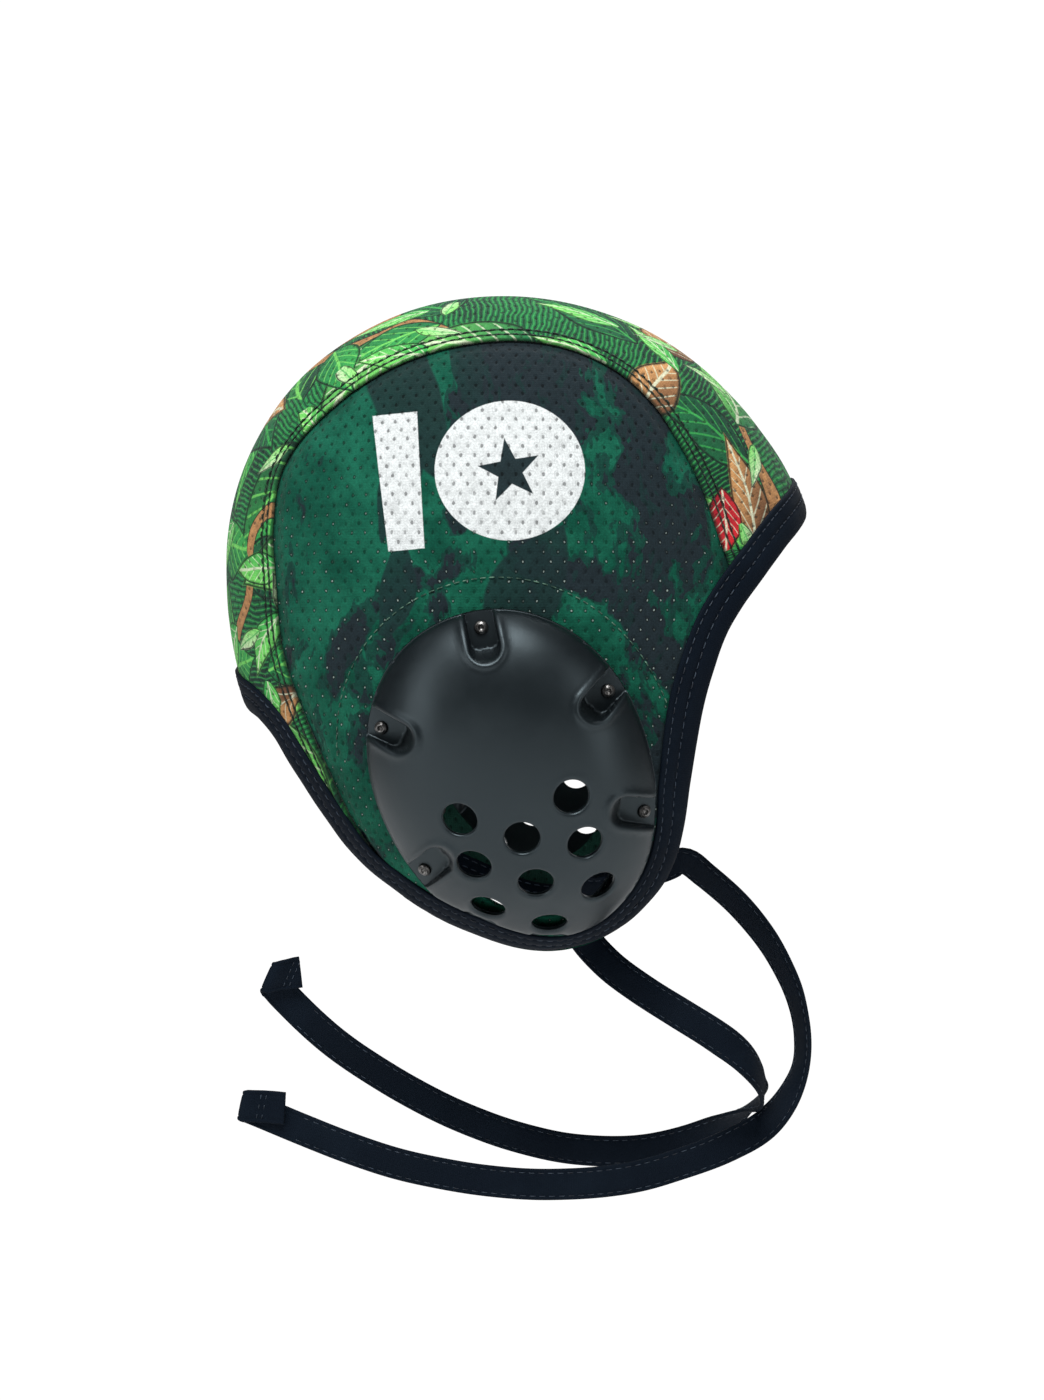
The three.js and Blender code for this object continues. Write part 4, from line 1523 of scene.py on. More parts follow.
@dataclass
class Finishes:
    """Every finish of the cap, made once."""

    groups: SharedGroups = field(default_factory=SharedGroups)
    crown: Material = field(init=False)
    side: Material = field(init=False)
    back: Material = field(init=False)
    tape: Material = field(init=False)
    guard: Material = field(init=False)
    rivet: Material = field(init=False)
    cloth_thread: Material = field(init=False)
    hem_thread: Material = field(init=False)
    tape_thread: Material = field(init=False)

    def __post_init__(self) -> None:
        """Make the materials."""
        self.crown = CrownPrint().material(self.groups)
        self.side = SidePrint().material(self.groups)
        self.back = ClothBack().material(self.groups)
        self.tape = TapeFinish().material(self.groups)
        self.guard = GuardFinish().material(self.groups)
        self.rivet = RivetFinish().material(self.groups)
        threads = (
            ThreadFinish("black_green_thread", (0.003, 0.009, 0.007, 1), (0.012, 0.035, 0.022, 1)),
            ThreadFinish("green_thread", (0.006, 0.03, 0.02, 1), (0.12, 0.24, 0.17, 1)),
            ThreadFinish("navy_thread", (0.005, 0.009, 0.017, 1), (0.028, 0.045, 0.07, 1)),
        )
        self.cloth_thread, self.hem_thread, self.tape_thread = (one.material(self.groups) for one in threads)


@dataclass
class CrownPanel:
    """Crown panel: one sheet from the forehead over the head to the nape, lapped over both side panels."""

    finishes: Finishes
    columns: int = 300
    rows: int = 44
    lap_lift: float = 0.35
    stitches: tuple[float, float] = (2.6, 5.2)

    def lift(self, turn: Array, lean: Array, from_seam: Array) -> Array:
        """Relief of the panel over the form.

        Args:
            turn: Turns in degrees.
            lean: Leans in degrees.
            from_seam: Distance from its lapped edge.

        Returns:
            Lifts in millimetres.
        """
        points = FORM.surface(turn, lean)
        relief = drape(points) * smooth_step(0, 12, from_seam)
        relief += self.lap_lift * smooth_step(10, 1, from_seam)
        relief -= 0.5 * smooth_step(0.8, 0, from_seam)
        for distance in self.stitches:
            relief -= 0.3 * hump(from_seam, distance, 0.6)
        pucker = np.sin(np.radians(turn) * 95 * 2 * np.pi / 5.6)
        return relief + 0.09 * pucker * hump(from_seam, 4.2, 3.4)

    def build(self) -> list[Piece]:
        """Make the panel and its stitches.

        Returns:
            The pieces.
        """
        seam_first, seam_last = PANEL_SEAM.ends
        edge_first, edge_last = OPEN_EDGE.ends
        over = np.linspace(0, 1, self.columns)
        turns = seam_first + (seam_last - seam_first) * over
        ends = np.concatenate([
            np.linspace(edge_last - 4, edge_last + 1, 26),
            np.linspace(edge_first + 360 - 1, edge_first + 360 + 8, 26),
        ])
        turns = np.unique(np.concatenate([turns, ends, [edge_last, edge_first + 360]]))
        seam_lean = FORM.lean_at(turns, PANEL_SEAM.share(turns))
        wrapped = np.where(turns > 180, turns - 360, turns)
        crosses = (turns > edge_last) & (turns < edge_first + 360)
        edge_share = np.where(crosses, 1.0, OPEN_EDGE.share(np.clip(wrapped, edge_first, edge_last)))
        outer_lean = FORM.lean_at(turns, np.minimum(edge_share, 1))
        outer_lean = np.minimum(outer_lean, seam_lean)
        shares = np.linspace(0, 1, self.rows) ** 1.15
        lean = seam_lean[None] + (outer_lean - seam_lean)[None] * shares[:, None]
        turn = np.broadcast_to(turns[None], lean.shape)
        dense = np.linspace(0, 90, 240)
        arcs = lengths(FORM.surface(*np.broadcast_arrays(turns, dense[:, None])))
        across = np.stack([np.interp(lean[:, k], dense, arcs[:, k]) for k in range(len(turns))], axis=1)
        from_seam = across[0][None] - across
        middle = lean[self.rows // 3]
        along = lengths(FORM.surface(turns, middle))
        uv = np.stack([np.broadcast_to(along[None], across.shape), across], axis=-1) * MM
        hem_uv = np.stack(np.broadcast_arrays(from_seam, along[None]), axis=-1).reshape(-1, 2) * MM
        points = FORM.lifted(turn, lean, self.lift(turn, lean, from_seam))
        points[..., 1] = np.where(lean < 0.01, 0.0, points[..., 1])
        mirrored = points * np.array([1, -1, 1])
        count = points.shape[0] * points.shape[1]
        faces = grid_faces(self.rows, len(turns), closed=False, flipped=True)
        all_points = np.concatenate([points.reshape(-1, 3), mirrored.reshape(-1, 3)])
        all_uv = np.concatenate([uv.reshape(-1, 2), (uv * np.array([1, -1])).reshape(-1, 2)])
        numbers = np.arange(2 * count)
        on_middle = (self.rows - 1) * len(turns) + np.nonzero(lean[-1] < 0.01)[0]
        numbers[count + on_middle] = on_middle
        both = numbers[np.concatenate([faces, (faces + count)[:, ::-1]])]
        used, both = np.unique(both, return_inverse=True)
        layers = {"cloth": all_uv[used], "hem": np.concatenate([hem_uv, hem_uv])[used]}
        finishes = [self.finishes.crown, self.finishes.back]
        panel = make_object("crown_cloth", all_points[used], both.reshape(-1, 4), finishes, layers)
        threads = self.sew()
        declare_cloth(panel)
        thicken(panel)
        return [panel, threads]

    def sew(self) -> Piece:
        """Stitch the lap with a twin needle, on both sides of the head.

        Returns:
            The stitches.
        """
        thread = Thread(pitch=2.7, stitch=1.9, radius=0.24)
        turns = PANEL_SEAM.turns(700)
        parts = []
        for distance in self.stitches:
            line, normals = PANEL_SEAM.offset(turns, -distance, self.lap_lift * 0.6)
            clear = clear_of_binding(line)
            line, normals = line[clear], normals[clear]
            parts += [thread.sew(line * side.flip, normals * side.flip) for side in Side]
        return stitched("crown_stitches", parts, self.finishes.cloth_thread)


@dataclass
class SidePanel:
    """Side panel: a sheet round the ear hole, tucked under the crown panel's edge."""

    finishes: Finishes
    guard: "EarGuard"
    columns: int = 330
    rows: int = 74
    tucked_rows: int = 5
    tuck: float = 4.2
    hem: float = 9.0
    samples: int = 900
    left_print_shift: float = 16.8

    def boundary(self, angle: Array) -> tuple[Array, Array]:
        """Outer edge of the panel in the side view, round the guard's middle.

        Args:
            angle: Angles in degrees.

        Returns:
            Its distance at each angle, and how far the panel is tucked under the crown there.
        """
        seam = np.linspace(*PANEL_SEAM.ends, self.samples)
        edge = np.linspace(PANEL_SEAM.ends[1] - 360, PANEL_SEAM.ends[0], self.samples)
        seam_x, seam_z = FORM.side_point(seam, PANEL_SEAM.share(seam))
        edge_x, edge_z = FORM.side_point(edge, OPEN_EDGE.share(edge) - 0.003)
        x, z = np.concatenate([seam_x, edge_x]), np.concatenate([seam_z, edge_z])
        around, reach = self.guard.polar(x, z)
        is_seam = np.repeat([1.0, 0.0], self.samples)
        return np.interp(angle, around, reach, period=360), np.interp(angle, around, is_seam, period=360)

    def build(self, side: Side) -> list[Piece]:
        """Make the panel and its stitches.

        Args:
            side: Which side of the head.

        Returns:
            The pieces.
        """
        angle = np.linspace(0, 360, self.columns, endpoint=False)
        outer, tucked = self.boundary(angle)
        hole = self.guard.radius(angle, self.guard.lap)
        dense = np.linspace(0, 1, 160)[:, None]
        radius = hole + (outer - hole) * dense
        arcs = lengths(FORM.beside(*self.guard.spot(angle, radius)))
        share = np.linspace(0, 1, self.rows)[:, None]
        wanted = arcs[-1] * share
        rays = zip(wanted.T, arcs.T, radius.T)
        inside = np.stack([np.interp(*ray) for ray in rays], axis=1)
        beyond = outer + self.tuck * tucked * np.linspace(0, 1, self.tucked_rows + 1)[1:, None]
        radius = np.concatenate([inside, beyond])
        run = np.concatenate([wanted, arcs[-1] + 1.6 * (beyond - outer)])
        x, z = self.guard.spot(angle, radius)
        points = FORM.beside(x, z)
        turn, lean = FORM.place(points)
        lift = self.lift(points, run, arcs[-1], tucked)
        points = FORM.lifted(turn, lean, lift)
        spread = hole + run
        turn = np.radians(angle)
        print_x = x if side is Side.RIGHT else -x - self.left_print_shift
        beyond_guard = radius - self.guard.radius(angle)
        layers = {
            "cloth": np.stack([spread * np.cos(turn), spread * np.sin(turn)], axis=-1) * MM,
            "print": np.stack([print_x, z], axis=-1) * MM,
            "hem": np.stack(np.broadcast_arrays(beyond_guard, angle / 360), axis=-1) * np.array([MM, 1]),
        }
        faces = grid_faces(points.shape[0], self.columns, closed=True, flipped=side is Side.RIGHT)
        panel = make_object(
            f"side_cloth_{side.label}",
            (points * side.flip).reshape(-1, 3),
            faces,
            [self.finishes.side, self.finishes.back],
            {layer: values.reshape(-1, 2) for layer, values in layers.items()},
        )
        threads = self.sew(side)
        declare_cloth(panel)
        thicken(panel)
        return [panel, threads]

    def lift(self, points: Array, run: Array, seam_run: Array, tucked: Array) -> Array:
        """Relief of the panel over the form.

        Args:
            points: Its points on the form.
            run: Distance of each from the ear hole.
            seam_run: That distance at its outer edge.
            tucked: Where the crown laps over it; not used.

        Returns:
            Lifts in millimetres.
        """
        seam = PANEL_SEAM.on_line(PANEL_SEAM.turns(self.samples))
        tree = KDTree(len(seam))
        for number, point in enumerate(seam):
            tree.insert(Vector(point), number)
        tree.balance()
        flat = points.reshape(-1, 3)
        found = np.array([tree.find(point)[2] for point in flat.tolist()]).reshape(points.shape[:-1])
        from_seam = np.where(run > seam_run, -found, found)
        relief = drape(points) * smooth_step(1, 14, from_seam)
        relief -= 1.25 * smooth_step(5.5, 0.2, from_seam)
        around = self.guard.share(points[..., 0], points[..., 2], -self.hem)
        beyond = (around - 1) * self.guard.half_width
        relief -= 0.22 * hump(beyond, 0, 0.8)
        relief += 0.18 * smooth_step(0.5, -1.0, beyond)
        puckers = np.sin(np.radians(self.guard.polar(points[..., 0], points[..., 2])[0]) * 62)
        return relief + 0.07 * puckers * hump(beyond, 0, 3.0)

    def sew(self, side: Side) -> Piece:
        """Stitch the hem round the guard.

        Args:
            side: Which side of the head.

        Returns:
            The stitches.
        """
        angle = np.linspace(0, 360, 900)
        outer, _ = self.boundary(angle)
        radius = self.guard.radius(angle, -self.hem)
        x, z = self.guard.spot(angle, radius)
        turn, lean = FORM.place(FORM.beside(x, z))
        line = FORM.lifted(turn, lean, 0.05)
        normals = FORM.normal(turn, lean) * side.flip
        keep = (radius < outer - 6.0) & clear_of_binding(line)
        line = line * side.flip
        thread = Thread(pitch=2.6, stitch=1.8, radius=0.2)
        parts = [thread.sew(line[run], normals[run]) for run in runs_of(keep) if len(run) > 20]
        return stitched(f"hem_stitches_{side.label}", parts, self.finishes.hem_thread)


@dataclass
class EdgeBinding:
    """Folded tape round the whole open edge, stitched along both of its borders."""

    finishes: Finishes
    stations: int = 420
    stitches: tuple[float, float] = (5.5, 9.4)
    tape_width: float = 25.6
    # Cross section: distance in from the open edge, and lift over the cloth's outside
    section: tuple[tuple[float, float], ...] = (
        (11.0, 0.12), (11.2, 0.45), (11.15, 0.85), (10.85, 1.12), (10.3, 1.22), (9.8, 1.14), (9.4, 0.98),
        (9.0, 1.12), (8.4, 1.29), (7.0, 1.35), (6.1, 1.27), (5.75, 1.05), (5.5, 0.94), (5.25, 1.05),
        (4.9, 1.28), (3.6, 1.37), (1.8, 1.34), (0.6, 1.15), (-0.2, 0.86), (-0.85, 0.4), (-1.15, -0.25),
        (-1.2, -0.9), (-0.9, -1.6), (-0.3, -2.15), (0.6, -2.4), (2.8, -2.5), (5.0, -2.48), (5.5, -2.28),
        (6.0, -2.48), (8.4, -2.45), (9.4, -2.25), (10.3, -2.45), (10.9, -2.35), (11.1, -1.95),
        (11.0, -1.4), (5.5, -1.32), (-0.1, -1.25), (-0.1, 0.05), (5.5, 0.12),
    )

    def build(self) -> list[Piece]:
        """Make the binding and its stitches.

        Returns:
            The pieces.
        """
        turns = OPEN_EDGE.turns(self.stations)
        reach = lengths(OPEN_EDGE.on_line(turns))
        wave = 0.12 * np.sin(reach / 7.3 + 0.6) * np.sin(reach / 17.1) + 0.05 * np.sin(reach / 2.3)
        rows = []
        for distance, lift in self.section:
            shift = 0.18 * np.sin(reach / 9.7 + 1.1) * (distance > 8)
            where = OPEN_EDGE.places(turns, np.full_like(turns, distance) + shift)
            outside = smooth_step(0.0, 0.9, np.asarray(lift))
            rows.append(FORM.lifted(*where, lift + wave * outside))
        half = np.stack(rows, axis=1)
        half[0, :, 1] = 0
        half[-1, :, 1] = 0
        ring = np.concatenate([half, half[-2:0:-1] * np.array([1, -1, 1])])
        run = np.concatenate([reach, 2 * reach[-1] - reach[-2:0:-1]])
        section = np.array(self.section)
        across = lengths(np.concatenate([section, section[:1]]))
        count, sides = ring.shape[:2]
        uv = np.stack(np.broadcast_arrays(run[:, None], across[None, :-1]), axis=-1).reshape(-1, 2) * MM
        faces = grid_faces(count + 1, sides, closed=True) % (count * sides)
        binding = make_object("bound_edge", ring.reshape(-1, 3), faces, [self.finishes.tape], {"tape": uv})
        threads = self.sew()
        return [binding, threads]

    def sew(self) -> Piece:
        """Stitch both borders, outside and inside.

        Returns:
            The stitches.
        """
        thread = Thread(pitch=3.1, stitch=2.3, radius=0.2)
        turns = OPEN_EDGE.turns(900)
        parts = []
        for distance in self.stitches:
            for lift, up in ((1.08, 1), (-2.38, -1)):
                line, normals = OPEN_EDGE.offset(turns, distance, lift)
                line[0, 1] = line[-1, 1] = 0
                ring = np.concatenate([line, line[-2:0:-1] * np.array([1, -1, 1]), line[:1]])
                around = np.concatenate([normals, normals[-2:0:-1] * np.array([1, -1, 1]), normals[:1]])
                parts.append(thread.sew(ring, around * up))
        return stitched("binding_stitches", parts, self.finishes.tape_thread)


@dataclass(frozen=True)
class Pocket:
    """A rivet pocket at a turn round the guard's rim."""

    turn: float
    width: float = 9.4
    length: float = 14.5
    rim_to_rivet: float = 5.2


class FlatPoints:
    """Points of the side view, from which a skin of the guard is made."""

    def __init__(self) -> None:
        """Start with none."""
        self.flats: list[Array] = []
        self.sinks: list[Array] = []
        self.edges: list[tuple[int, int]] = []

    def add(self, flat: Array, sink: Array | None = None, bordered: bool = False) -> Array:
        """Add points.

        Args:
            flat: The points.
            sink: How far they are pushed from the skin.
            bordered: Whether faces end at their ring.

        Returns:
            Their numbers.
        """
        start = sum(len(one) for one in self.flats)
        self.flats.append(flat)
        self.sinks.append(np.broadcast_to(np.zeros(3) if sink is None else sink, (len(flat), 3)))
        ids = np.arange(start, start + len(flat))
        if bordered:
            self.edges.extend(zip(ids.tolist(), np.roll(ids, -1).tolist()))
        return ids


@dataclass
class EarGuard:
    """Moulded ear guard: a hollow dome with vents, and open pockets round its rim for the rivets."""

    finishes: Finishes
    ahead: float = 2.9
    below: float = 49.2
    half_width: float = 41.2
    half_height: float = 54.0
    tilt: float = 20.5
    squareness: float = 2.06
    taper: float = -0.06
    wall: float = 2.0
    depth: float = 15.5
    lowering: float = 0.26
    flatness: float = 3.0
    lap: float = 10.5
    seat: float = 0.45
    vent_radius: float = 5.3
    vent_step: tuple[float, float] = (4.1, -14.5)
    vent_rows: int = 3
    vent_columns: tuple[tuple[float, float], ...] = ((-0.405, -0.16), (0.044, -0.262), (0.398, -0.028))
    pockets: tuple[Pocket, ...] = (Pocket(102), Pocket(47), Pocket(-12), Pocket(156), Pocket(-136))
    around: int = 300
    vent_sides: int = 40
    trim_samples: int = 1400
    binding_border: float = 11.5
    grid_reach: float = 60.0
    grid_share: float = 0.66
    rim_rings: tuple[float, ...] = (0.07, 0.14, 0.22, 0.3, 0.4, 0.5, 0.6)
    pocket_levels: tuple[float, ...] = (-3.0, -2.2, -1.5, -0.9, -0.55, -0.3, 0.0, 0.35, 0.8, 1.3, 1.9)
    vent_edge: tuple[tuple[float, float], ...] = (
        (0.0, 1.0), (0.13, 0.5), (0.42, 0.17), (0.8, 0.03), (1.3, -0.12), (2.1, -0.05),
    )
    spacing: float = 1.0
    trim: Array = field(init=False)

    def __post_init__(self) -> None:
        """Find how far the guard reaches before the binding."""
        self.trim = self.find_trim()

    @property
    def middle(self) -> tuple[float, float]:
        """Its middle in the side view."""
        return self.ahead, FORM.ear_axis_z - self.below

    @property
    def floor(self) -> float:
        """Height of its pocket floors over the cloth."""
        return self.seat + self.wall

    def spot(self, angle: Array, reach: Array) -> tuple[Array, Array]:
        """Point of the side view, from the guard's middle.

        Args:
            angle: Angles in degrees.
            reach: Distances from the middle.

        Returns:
            Its x and z.
        """
        turn = np.radians(angle)
        return self.middle[0] + reach * np.cos(turn), self.middle[1] + reach * np.sin(turn)

    def polar(self, x: Array, z: Array) -> tuple[Array, Array]:
        """Place of a point of the side view, from the guard's middle.

        Args:
            x: Distances ahead.
            z: Heights.

        Returns:
            Angles in degrees, and distances.
        """
        dx, dz = x - self.middle[0], z - self.middle[1]
        return np.degrees(np.arctan2(dz, dx)), np.hypot(dx, dz)

    def radius(self, angle: Array, inset: float = 0.0) -> Array:
        """Distance of the outline from the middle.

        Args:
            angle: Angles in degrees.
            inset: How far the outline is drawn in.

        Returns:
            Distances.
        """
        leaned = np.radians(angle) - math.radians(self.tilt)
        c, s = np.cos(leaned), np.sin(leaned)
        width = (self.half_width - inset) * (1 - self.taper * s)
        tall, power = self.half_height - inset, self.squareness
        return (np.abs(c / width) ** power + np.abs(s / tall) ** power) ** (-1 / power)

    def share(self, x: Array, z: Array, inset: float = 0.0) -> Array:
        """How far out toward the outline a point of the side view lies.

        Args:
            x: Distances ahead.
            z: Heights.
            inset: How far the outline is drawn in.

        Returns:
            Shares, 1 at the outline.
        """
        angle, reach = self.polar(x, z)
        return reach / self.radius(angle, inset)

    def find_trim(self) -> Array:
        """Reach of the guard at each degree: its outline, or just inside the binding where that is nearer.

        Returns:
            Distances from its middle at 0 to 359 degrees.
        """
        turns = OPEN_EDGE.turns(self.trim_samples)
        line = FORM.surface(*OPEN_EDGE.places(turns, np.full_like(turns, self.binding_border)))
        around, reach = self.polar(line[:, 0], line[:, 2])
        angle = np.arange(360.0)
        nearest = np.minimum(self.radius(angle), np.interp(angle, around, reach, period=360))
        kernel = np.hanning(9)
        padded = np.concatenate([nearest[-4:], nearest, nearest[:4]])
        return np.minimum(np.convolve(padded, kernel / kernel.sum(), "valid"), nearest)

    def trimmed(self, angle: Array) -> Array:
        """Reach of the guard at an angle.

        Args:
            angle: Angles in degrees.

        Returns:
            Distances from its middle.
        """
        return np.interp(angle % 360, np.arange(361.0), np.append(self.trim, self.trim[0]))

    def stretch(self, x: Array, z: Array) -> Array:
        """How much longer a lift square to the cloth is along Y.

        Args:
            x: Distances ahead.
            z: Heights.

        Returns:
            Factors over 1.
        """
        turn, lean = FORM.place(FORM.beside(x, z))
        return 1 / np.maximum(np.abs(FORM.normal(turn, lean)[..., 1]), 0.3)

    def dome(self, x: Array, z: Array, inset: float) -> Array:
        """Rise of the dome over its floor.

        Args:
            x: Distances ahead.
            z: Heights.
            inset: How far the dome is drawn in.

        Returns:
            Rises along Y.
        """
        angle, reach = self.polar(x, z)
        share = reach / (self.trimmed(angle) - inset)
        down = (self.middle[1] - z) / self.half_height
        full = np.sqrt(np.maximum(1 - share**self.flatness, 0))
        return self.depth * full * (1 - self.lowering * (1 + down) * np.maximum(down + 1, 0) * 0.5)

    def pocket_frame(self, pocket: Pocket) -> tuple[Array, Array]:
        """Rim point of a pocket and its way out, in the side view.

        Args:
            pocket: The pocket.

        Returns:
            The point, and a unit direction.
        """
        angle = np.radians(pocket.turn)
        out = np.array([np.cos(angle), np.sin(angle)])
        return np.array(self.middle) + out * self.radius(np.array(pocket.turn, float)), out

    def pocket_distance(self, pocket: Pocket, x: Array, z: Array) -> tuple[Array, Array]:
        """Signed distance from a pocket's outline.

        Args:
            pocket: The pocket.
            x: Distances ahead.
            z: Heights.

        Returns:
            Distances, negative inside, and how near the round inner end each point is, from 0 to 1.
        """
        rim, out = self.pocket_frame(pocket)
        along = (x - rim[0]) * out[0] + (z - rim[1]) * out[1]
        side = -(x - rim[0]) * out[1] + (z - rim[1]) * out[0]
        half = pocket.width / 2
        past = along + pocket.length - half
        round_ = np.hypot(side, np.minimum(past, 0)) - half
        end = np.where(past < 0, -past / np.maximum(np.hypot(side, past), 1e-6), 0)
        return round_, end

    def skin(self, x: Array, z: Array, inner: bool = False) -> Array:
        """Height of the guard's outside or inside, from the middle plane.

        Args:
            x: Distances ahead.
            z: Heights.
            inner: Whether the inside is meant.

        Returns:
            Distances from the middle plane.
        """
        base = FORM.breadth(x, z)
        slope = self.stretch(x, z)
        grow = self.wall if inner else 0.0
        low = base + (self.seat if inner else self.floor) * slope
        high = low + self.dome(x, z, grow)
        if not inner:
            angle, reach = self.polar(x, z)
            high = high + 0.3 * hump(self.trimmed(angle) - reach, 1.0, 0.7)
        for pocket in self.pockets:
            distance, end = self.pocket_distance(pocket, x, z)
            distance = distance - grow
            band = 0.55 + 2.6 * end * end
            if not inner:
                high = high + 0.75 * hump(distance, 1.0, 0.95) * smooth_step(0.6, 3.0, high - low)
            high = high + (low - high) * smooth_step(0.0, 1.0, -distance / band)
        return high

    def vent_places(self) -> list[tuple[float, float]]:
        """Middles of the vents in the side view."""
        return [
            (
                self.middle[0] + ahead * self.half_width + row * self.vent_step[0],
                self.middle[1] + up * self.half_height + row * self.vent_step[1],
            )
            for ahead, up in self.vent_columns
            for row in range(self.vent_rows)
        ]

    def vent_frame(self, x: float, z: float) -> tuple[Array, Array, Array, Array]:
        """Middle of a vent on the outside, its axis and two directions square to it.

        Args:
            x: Distance ahead.
            z: Height.

        Returns:
            Four vectors.
        """
        step = 1.0
        spots = np.array([[x, z], [x + step, z], [x - step, z], [x, z + step], [x, z - step]])
        height = self.skin(spots[:, 0], spots[:, 1])
        points = np.stack([spots[:, 0], -height, spots[:, 1]], axis=-1)
        axis = unit(np.cross(points[1] - points[2], points[3] - points[4]))
        first = unit(np.cross(np.array([0.0, 0.0, 1.0]), axis))
        return points[0], axis, first, np.cross(axis, first)

    def ring_vents(self, sheet: FlatPoints, inner: bool) -> tuple[list[Array], list[tuple[Array, float]]]:
        """Lay rings round each vent, down its rounded edge.

        Args:
            sheet: Where the points go.
            inner: Whether it is the inner skin.

        Returns:
            Numbers of each vent's border, and the middles and radii that other points keep out of.
        """
        inset, fillet = (self.wall, 0.45) if inner else (0.0, 0.8)
        turn = np.linspace(0, 2 * np.pi, self.vent_sides, endpoint=False)[:, None]
        borders, keep_out = [], []
        for x, z in self.vent_places():
            middle, axis, first, second = self.vent_frame(x, z)
            for number, (out, sunk) in enumerate(self.vent_edge):
                circle = (self.vent_radius + out * fillet) * (first * np.cos(turn) + second * np.sin(turn))
                flat = (middle - axis * inset + circle)[:, [0, 2]]
                ids = sheet.add(flat, -axis * sunk * fillet * (-1 if inner else 1), bordered=number == 0)
                if number == 0:
                    borders.append(ids)
            keep_out.append((middle[[0, 2]], self.vent_radius + 2.0 * fillet + 0.4))
        return borders, keep_out

    def line_pockets(self, sheet: FlatPoints, inset: float) -> None:
        """Lay lines along each pocket's wall.

        Args:
            sheet: Where the points go.
            inset: How far the skin lies in from the outer one.
        """
        for pocket in self.pockets:
            origin, out = self.pocket_frame(pocket)
            side = np.array([-out[1], out[0]])
            for level in self.pocket_levels:
                half = pocket.width / 2 + level + inset
                if half < 0.8:
                    continue
                centre = origin + out * (pocket.width / 2 - pocket.length)
                turn = np.linspace(0, np.pi, max(int(np.pi * half / 0.7), 8))[:, None]
                end = centre - out * half * np.sin(turn) + side * half * np.cos(turn)
                run = np.arange(0.7, pocket.length - pocket.width / 2 + 3.0, 0.7)[:, None]
                up = (centre + side * half + out * run)[::-1]
                sheet.add(np.concatenate([up, end, centre - side * half + out * run]))

    def sheet(self, inner: bool) -> tuple[Array, list[list[int]], list[Array], Array]:
        """Triangulate the outside or the inside of the guard, with its vents open.

        Args:
            inner: Whether the inside is meant.

        Returns:
            Points, faces, each vent's border as vertex numbers, and the rim's.
        """
        angle = np.linspace(0, 360, self.around, endpoint=False)
        inset = self.wall if inner else 0.0
        rim = self.trimmed(angle) - inset
        sheet = FlatPoints()
        rim_ids = sheet.add(np.stack(self.spot(angle, rim * 0.9999), axis=-1), bordered=True)
        vent_ids, keep_out = self.ring_vents(sheet, inner)
        self.line_pockets(sheet, inset)
        for share in self.rim_rings:
            sheet.add(np.stack(self.spot(angle, rim * (1 - share**2) ** (1 / self.flatness)), axis=-1))
        across = np.arange(-self.grid_reach, self.grid_reach, self.spacing)
        grid_x, grid_z = np.meshgrid(across, across * math.sqrt(0.75), indexing="ij")
        grid_x = grid_x + 0.5 * self.spacing * (np.arange(len(across))[None, :] % 2)
        grid = np.stack([self.middle[0] + grid_x.ravel(), self.middle[1] + grid_z.ravel()], axis=-1)
        turn, reach = self.polar(*grid.T)
        limit = (1 - self.grid_share**2) ** (1 / self.flatness)
        grid = grid[reach < (self.trimmed(turn) - inset) * limit]
        grid_ids = sheet.add(grid)
        flat, sink = np.concatenate(sheet.flats), np.concatenate(sheet.sinks)
        turn, reach = self.polar(*flat.T)
        keep = reach < self.trimmed(turn) - inset - 0.25
        keep[rim_ids] = True
        fixed = np.isin(np.arange(len(flat)), rim_ids)
        own = np.linalg.norm(sink, axis=1) > 0
        own[np.concatenate(vent_ids)] = True
        for centre, reach in keep_out:
            keep &= (np.hypot(*(flat - centre).T) >= reach) | own
        for pocket in self.pockets:
            distance = self.pocket_distance(pocket, *flat.T)[0] - inset
            keep[grid_ids] &= ~((np.abs(distance) < 2.2) & (distance > -3.3))[grid_ids]
        keep = self.thin_out(flat, keep, fixed | own)
        numbers = np.cumsum(keep) - 1
        kept = np.nonzero(keep)[0]
        links = [(int(numbers[a]), int(numbers[b])) for a, b in sheet.edges if keep[a] and keep[b]]
        found = delaunay_2d_cdt([Vector(p) for p in flat[kept].tolist()], links, [], 0, 1e-5, True)
        where = np.array([[v.x, v.y] for v in found[0]])
        origin = np.array([ids[0] if ids else -1 for ids in found[3]])
        old = origin >= 0
        out_of = np.full(len(kept), -1)
        out_of[origin[old]] = np.nonzero(old)[0]
        points = np.insert(where, 1, -self.skin(*where.T, inner), axis=1)
        points[old] += sink[kept[origin[old]]]
        vents = [out_of[numbers[ids]] for ids in vent_ids]
        vent_of = np.full(len(where), -1)
        for number, ids in enumerate(vents):
            vent_of[ids] = number
        faces = [list(face) for face in found[2] if len(set(vent_of[face])) > 1 or vent_of[face[0]] < 0]
        return points, faces, vents, out_of[numbers[rim_ids]]

    @staticmethod
    def thin_out(flat: Array, keep: Array, fixed: Array) -> Array:
        """Drop points that lie too near an earlier one.

        Args:
            flat: Points of the side view.
            keep: Which are still in use.
            fixed: Which must stay.

        Returns:
            Which are in use.
        """
        cell = 0.3
        taken: dict[tuple[int, int], int] = {}
        for number in np.concatenate([np.nonzero(keep & fixed)[0], np.nonzero(keep & ~fixed)[0]]):
            key = (int(flat[number, 0] // cell), int(flat[number, 1] // cell))
            if key in taken and not fixed[number]:
                keep[number] = False
            else:
                taken[key] = int(number)
        return keep

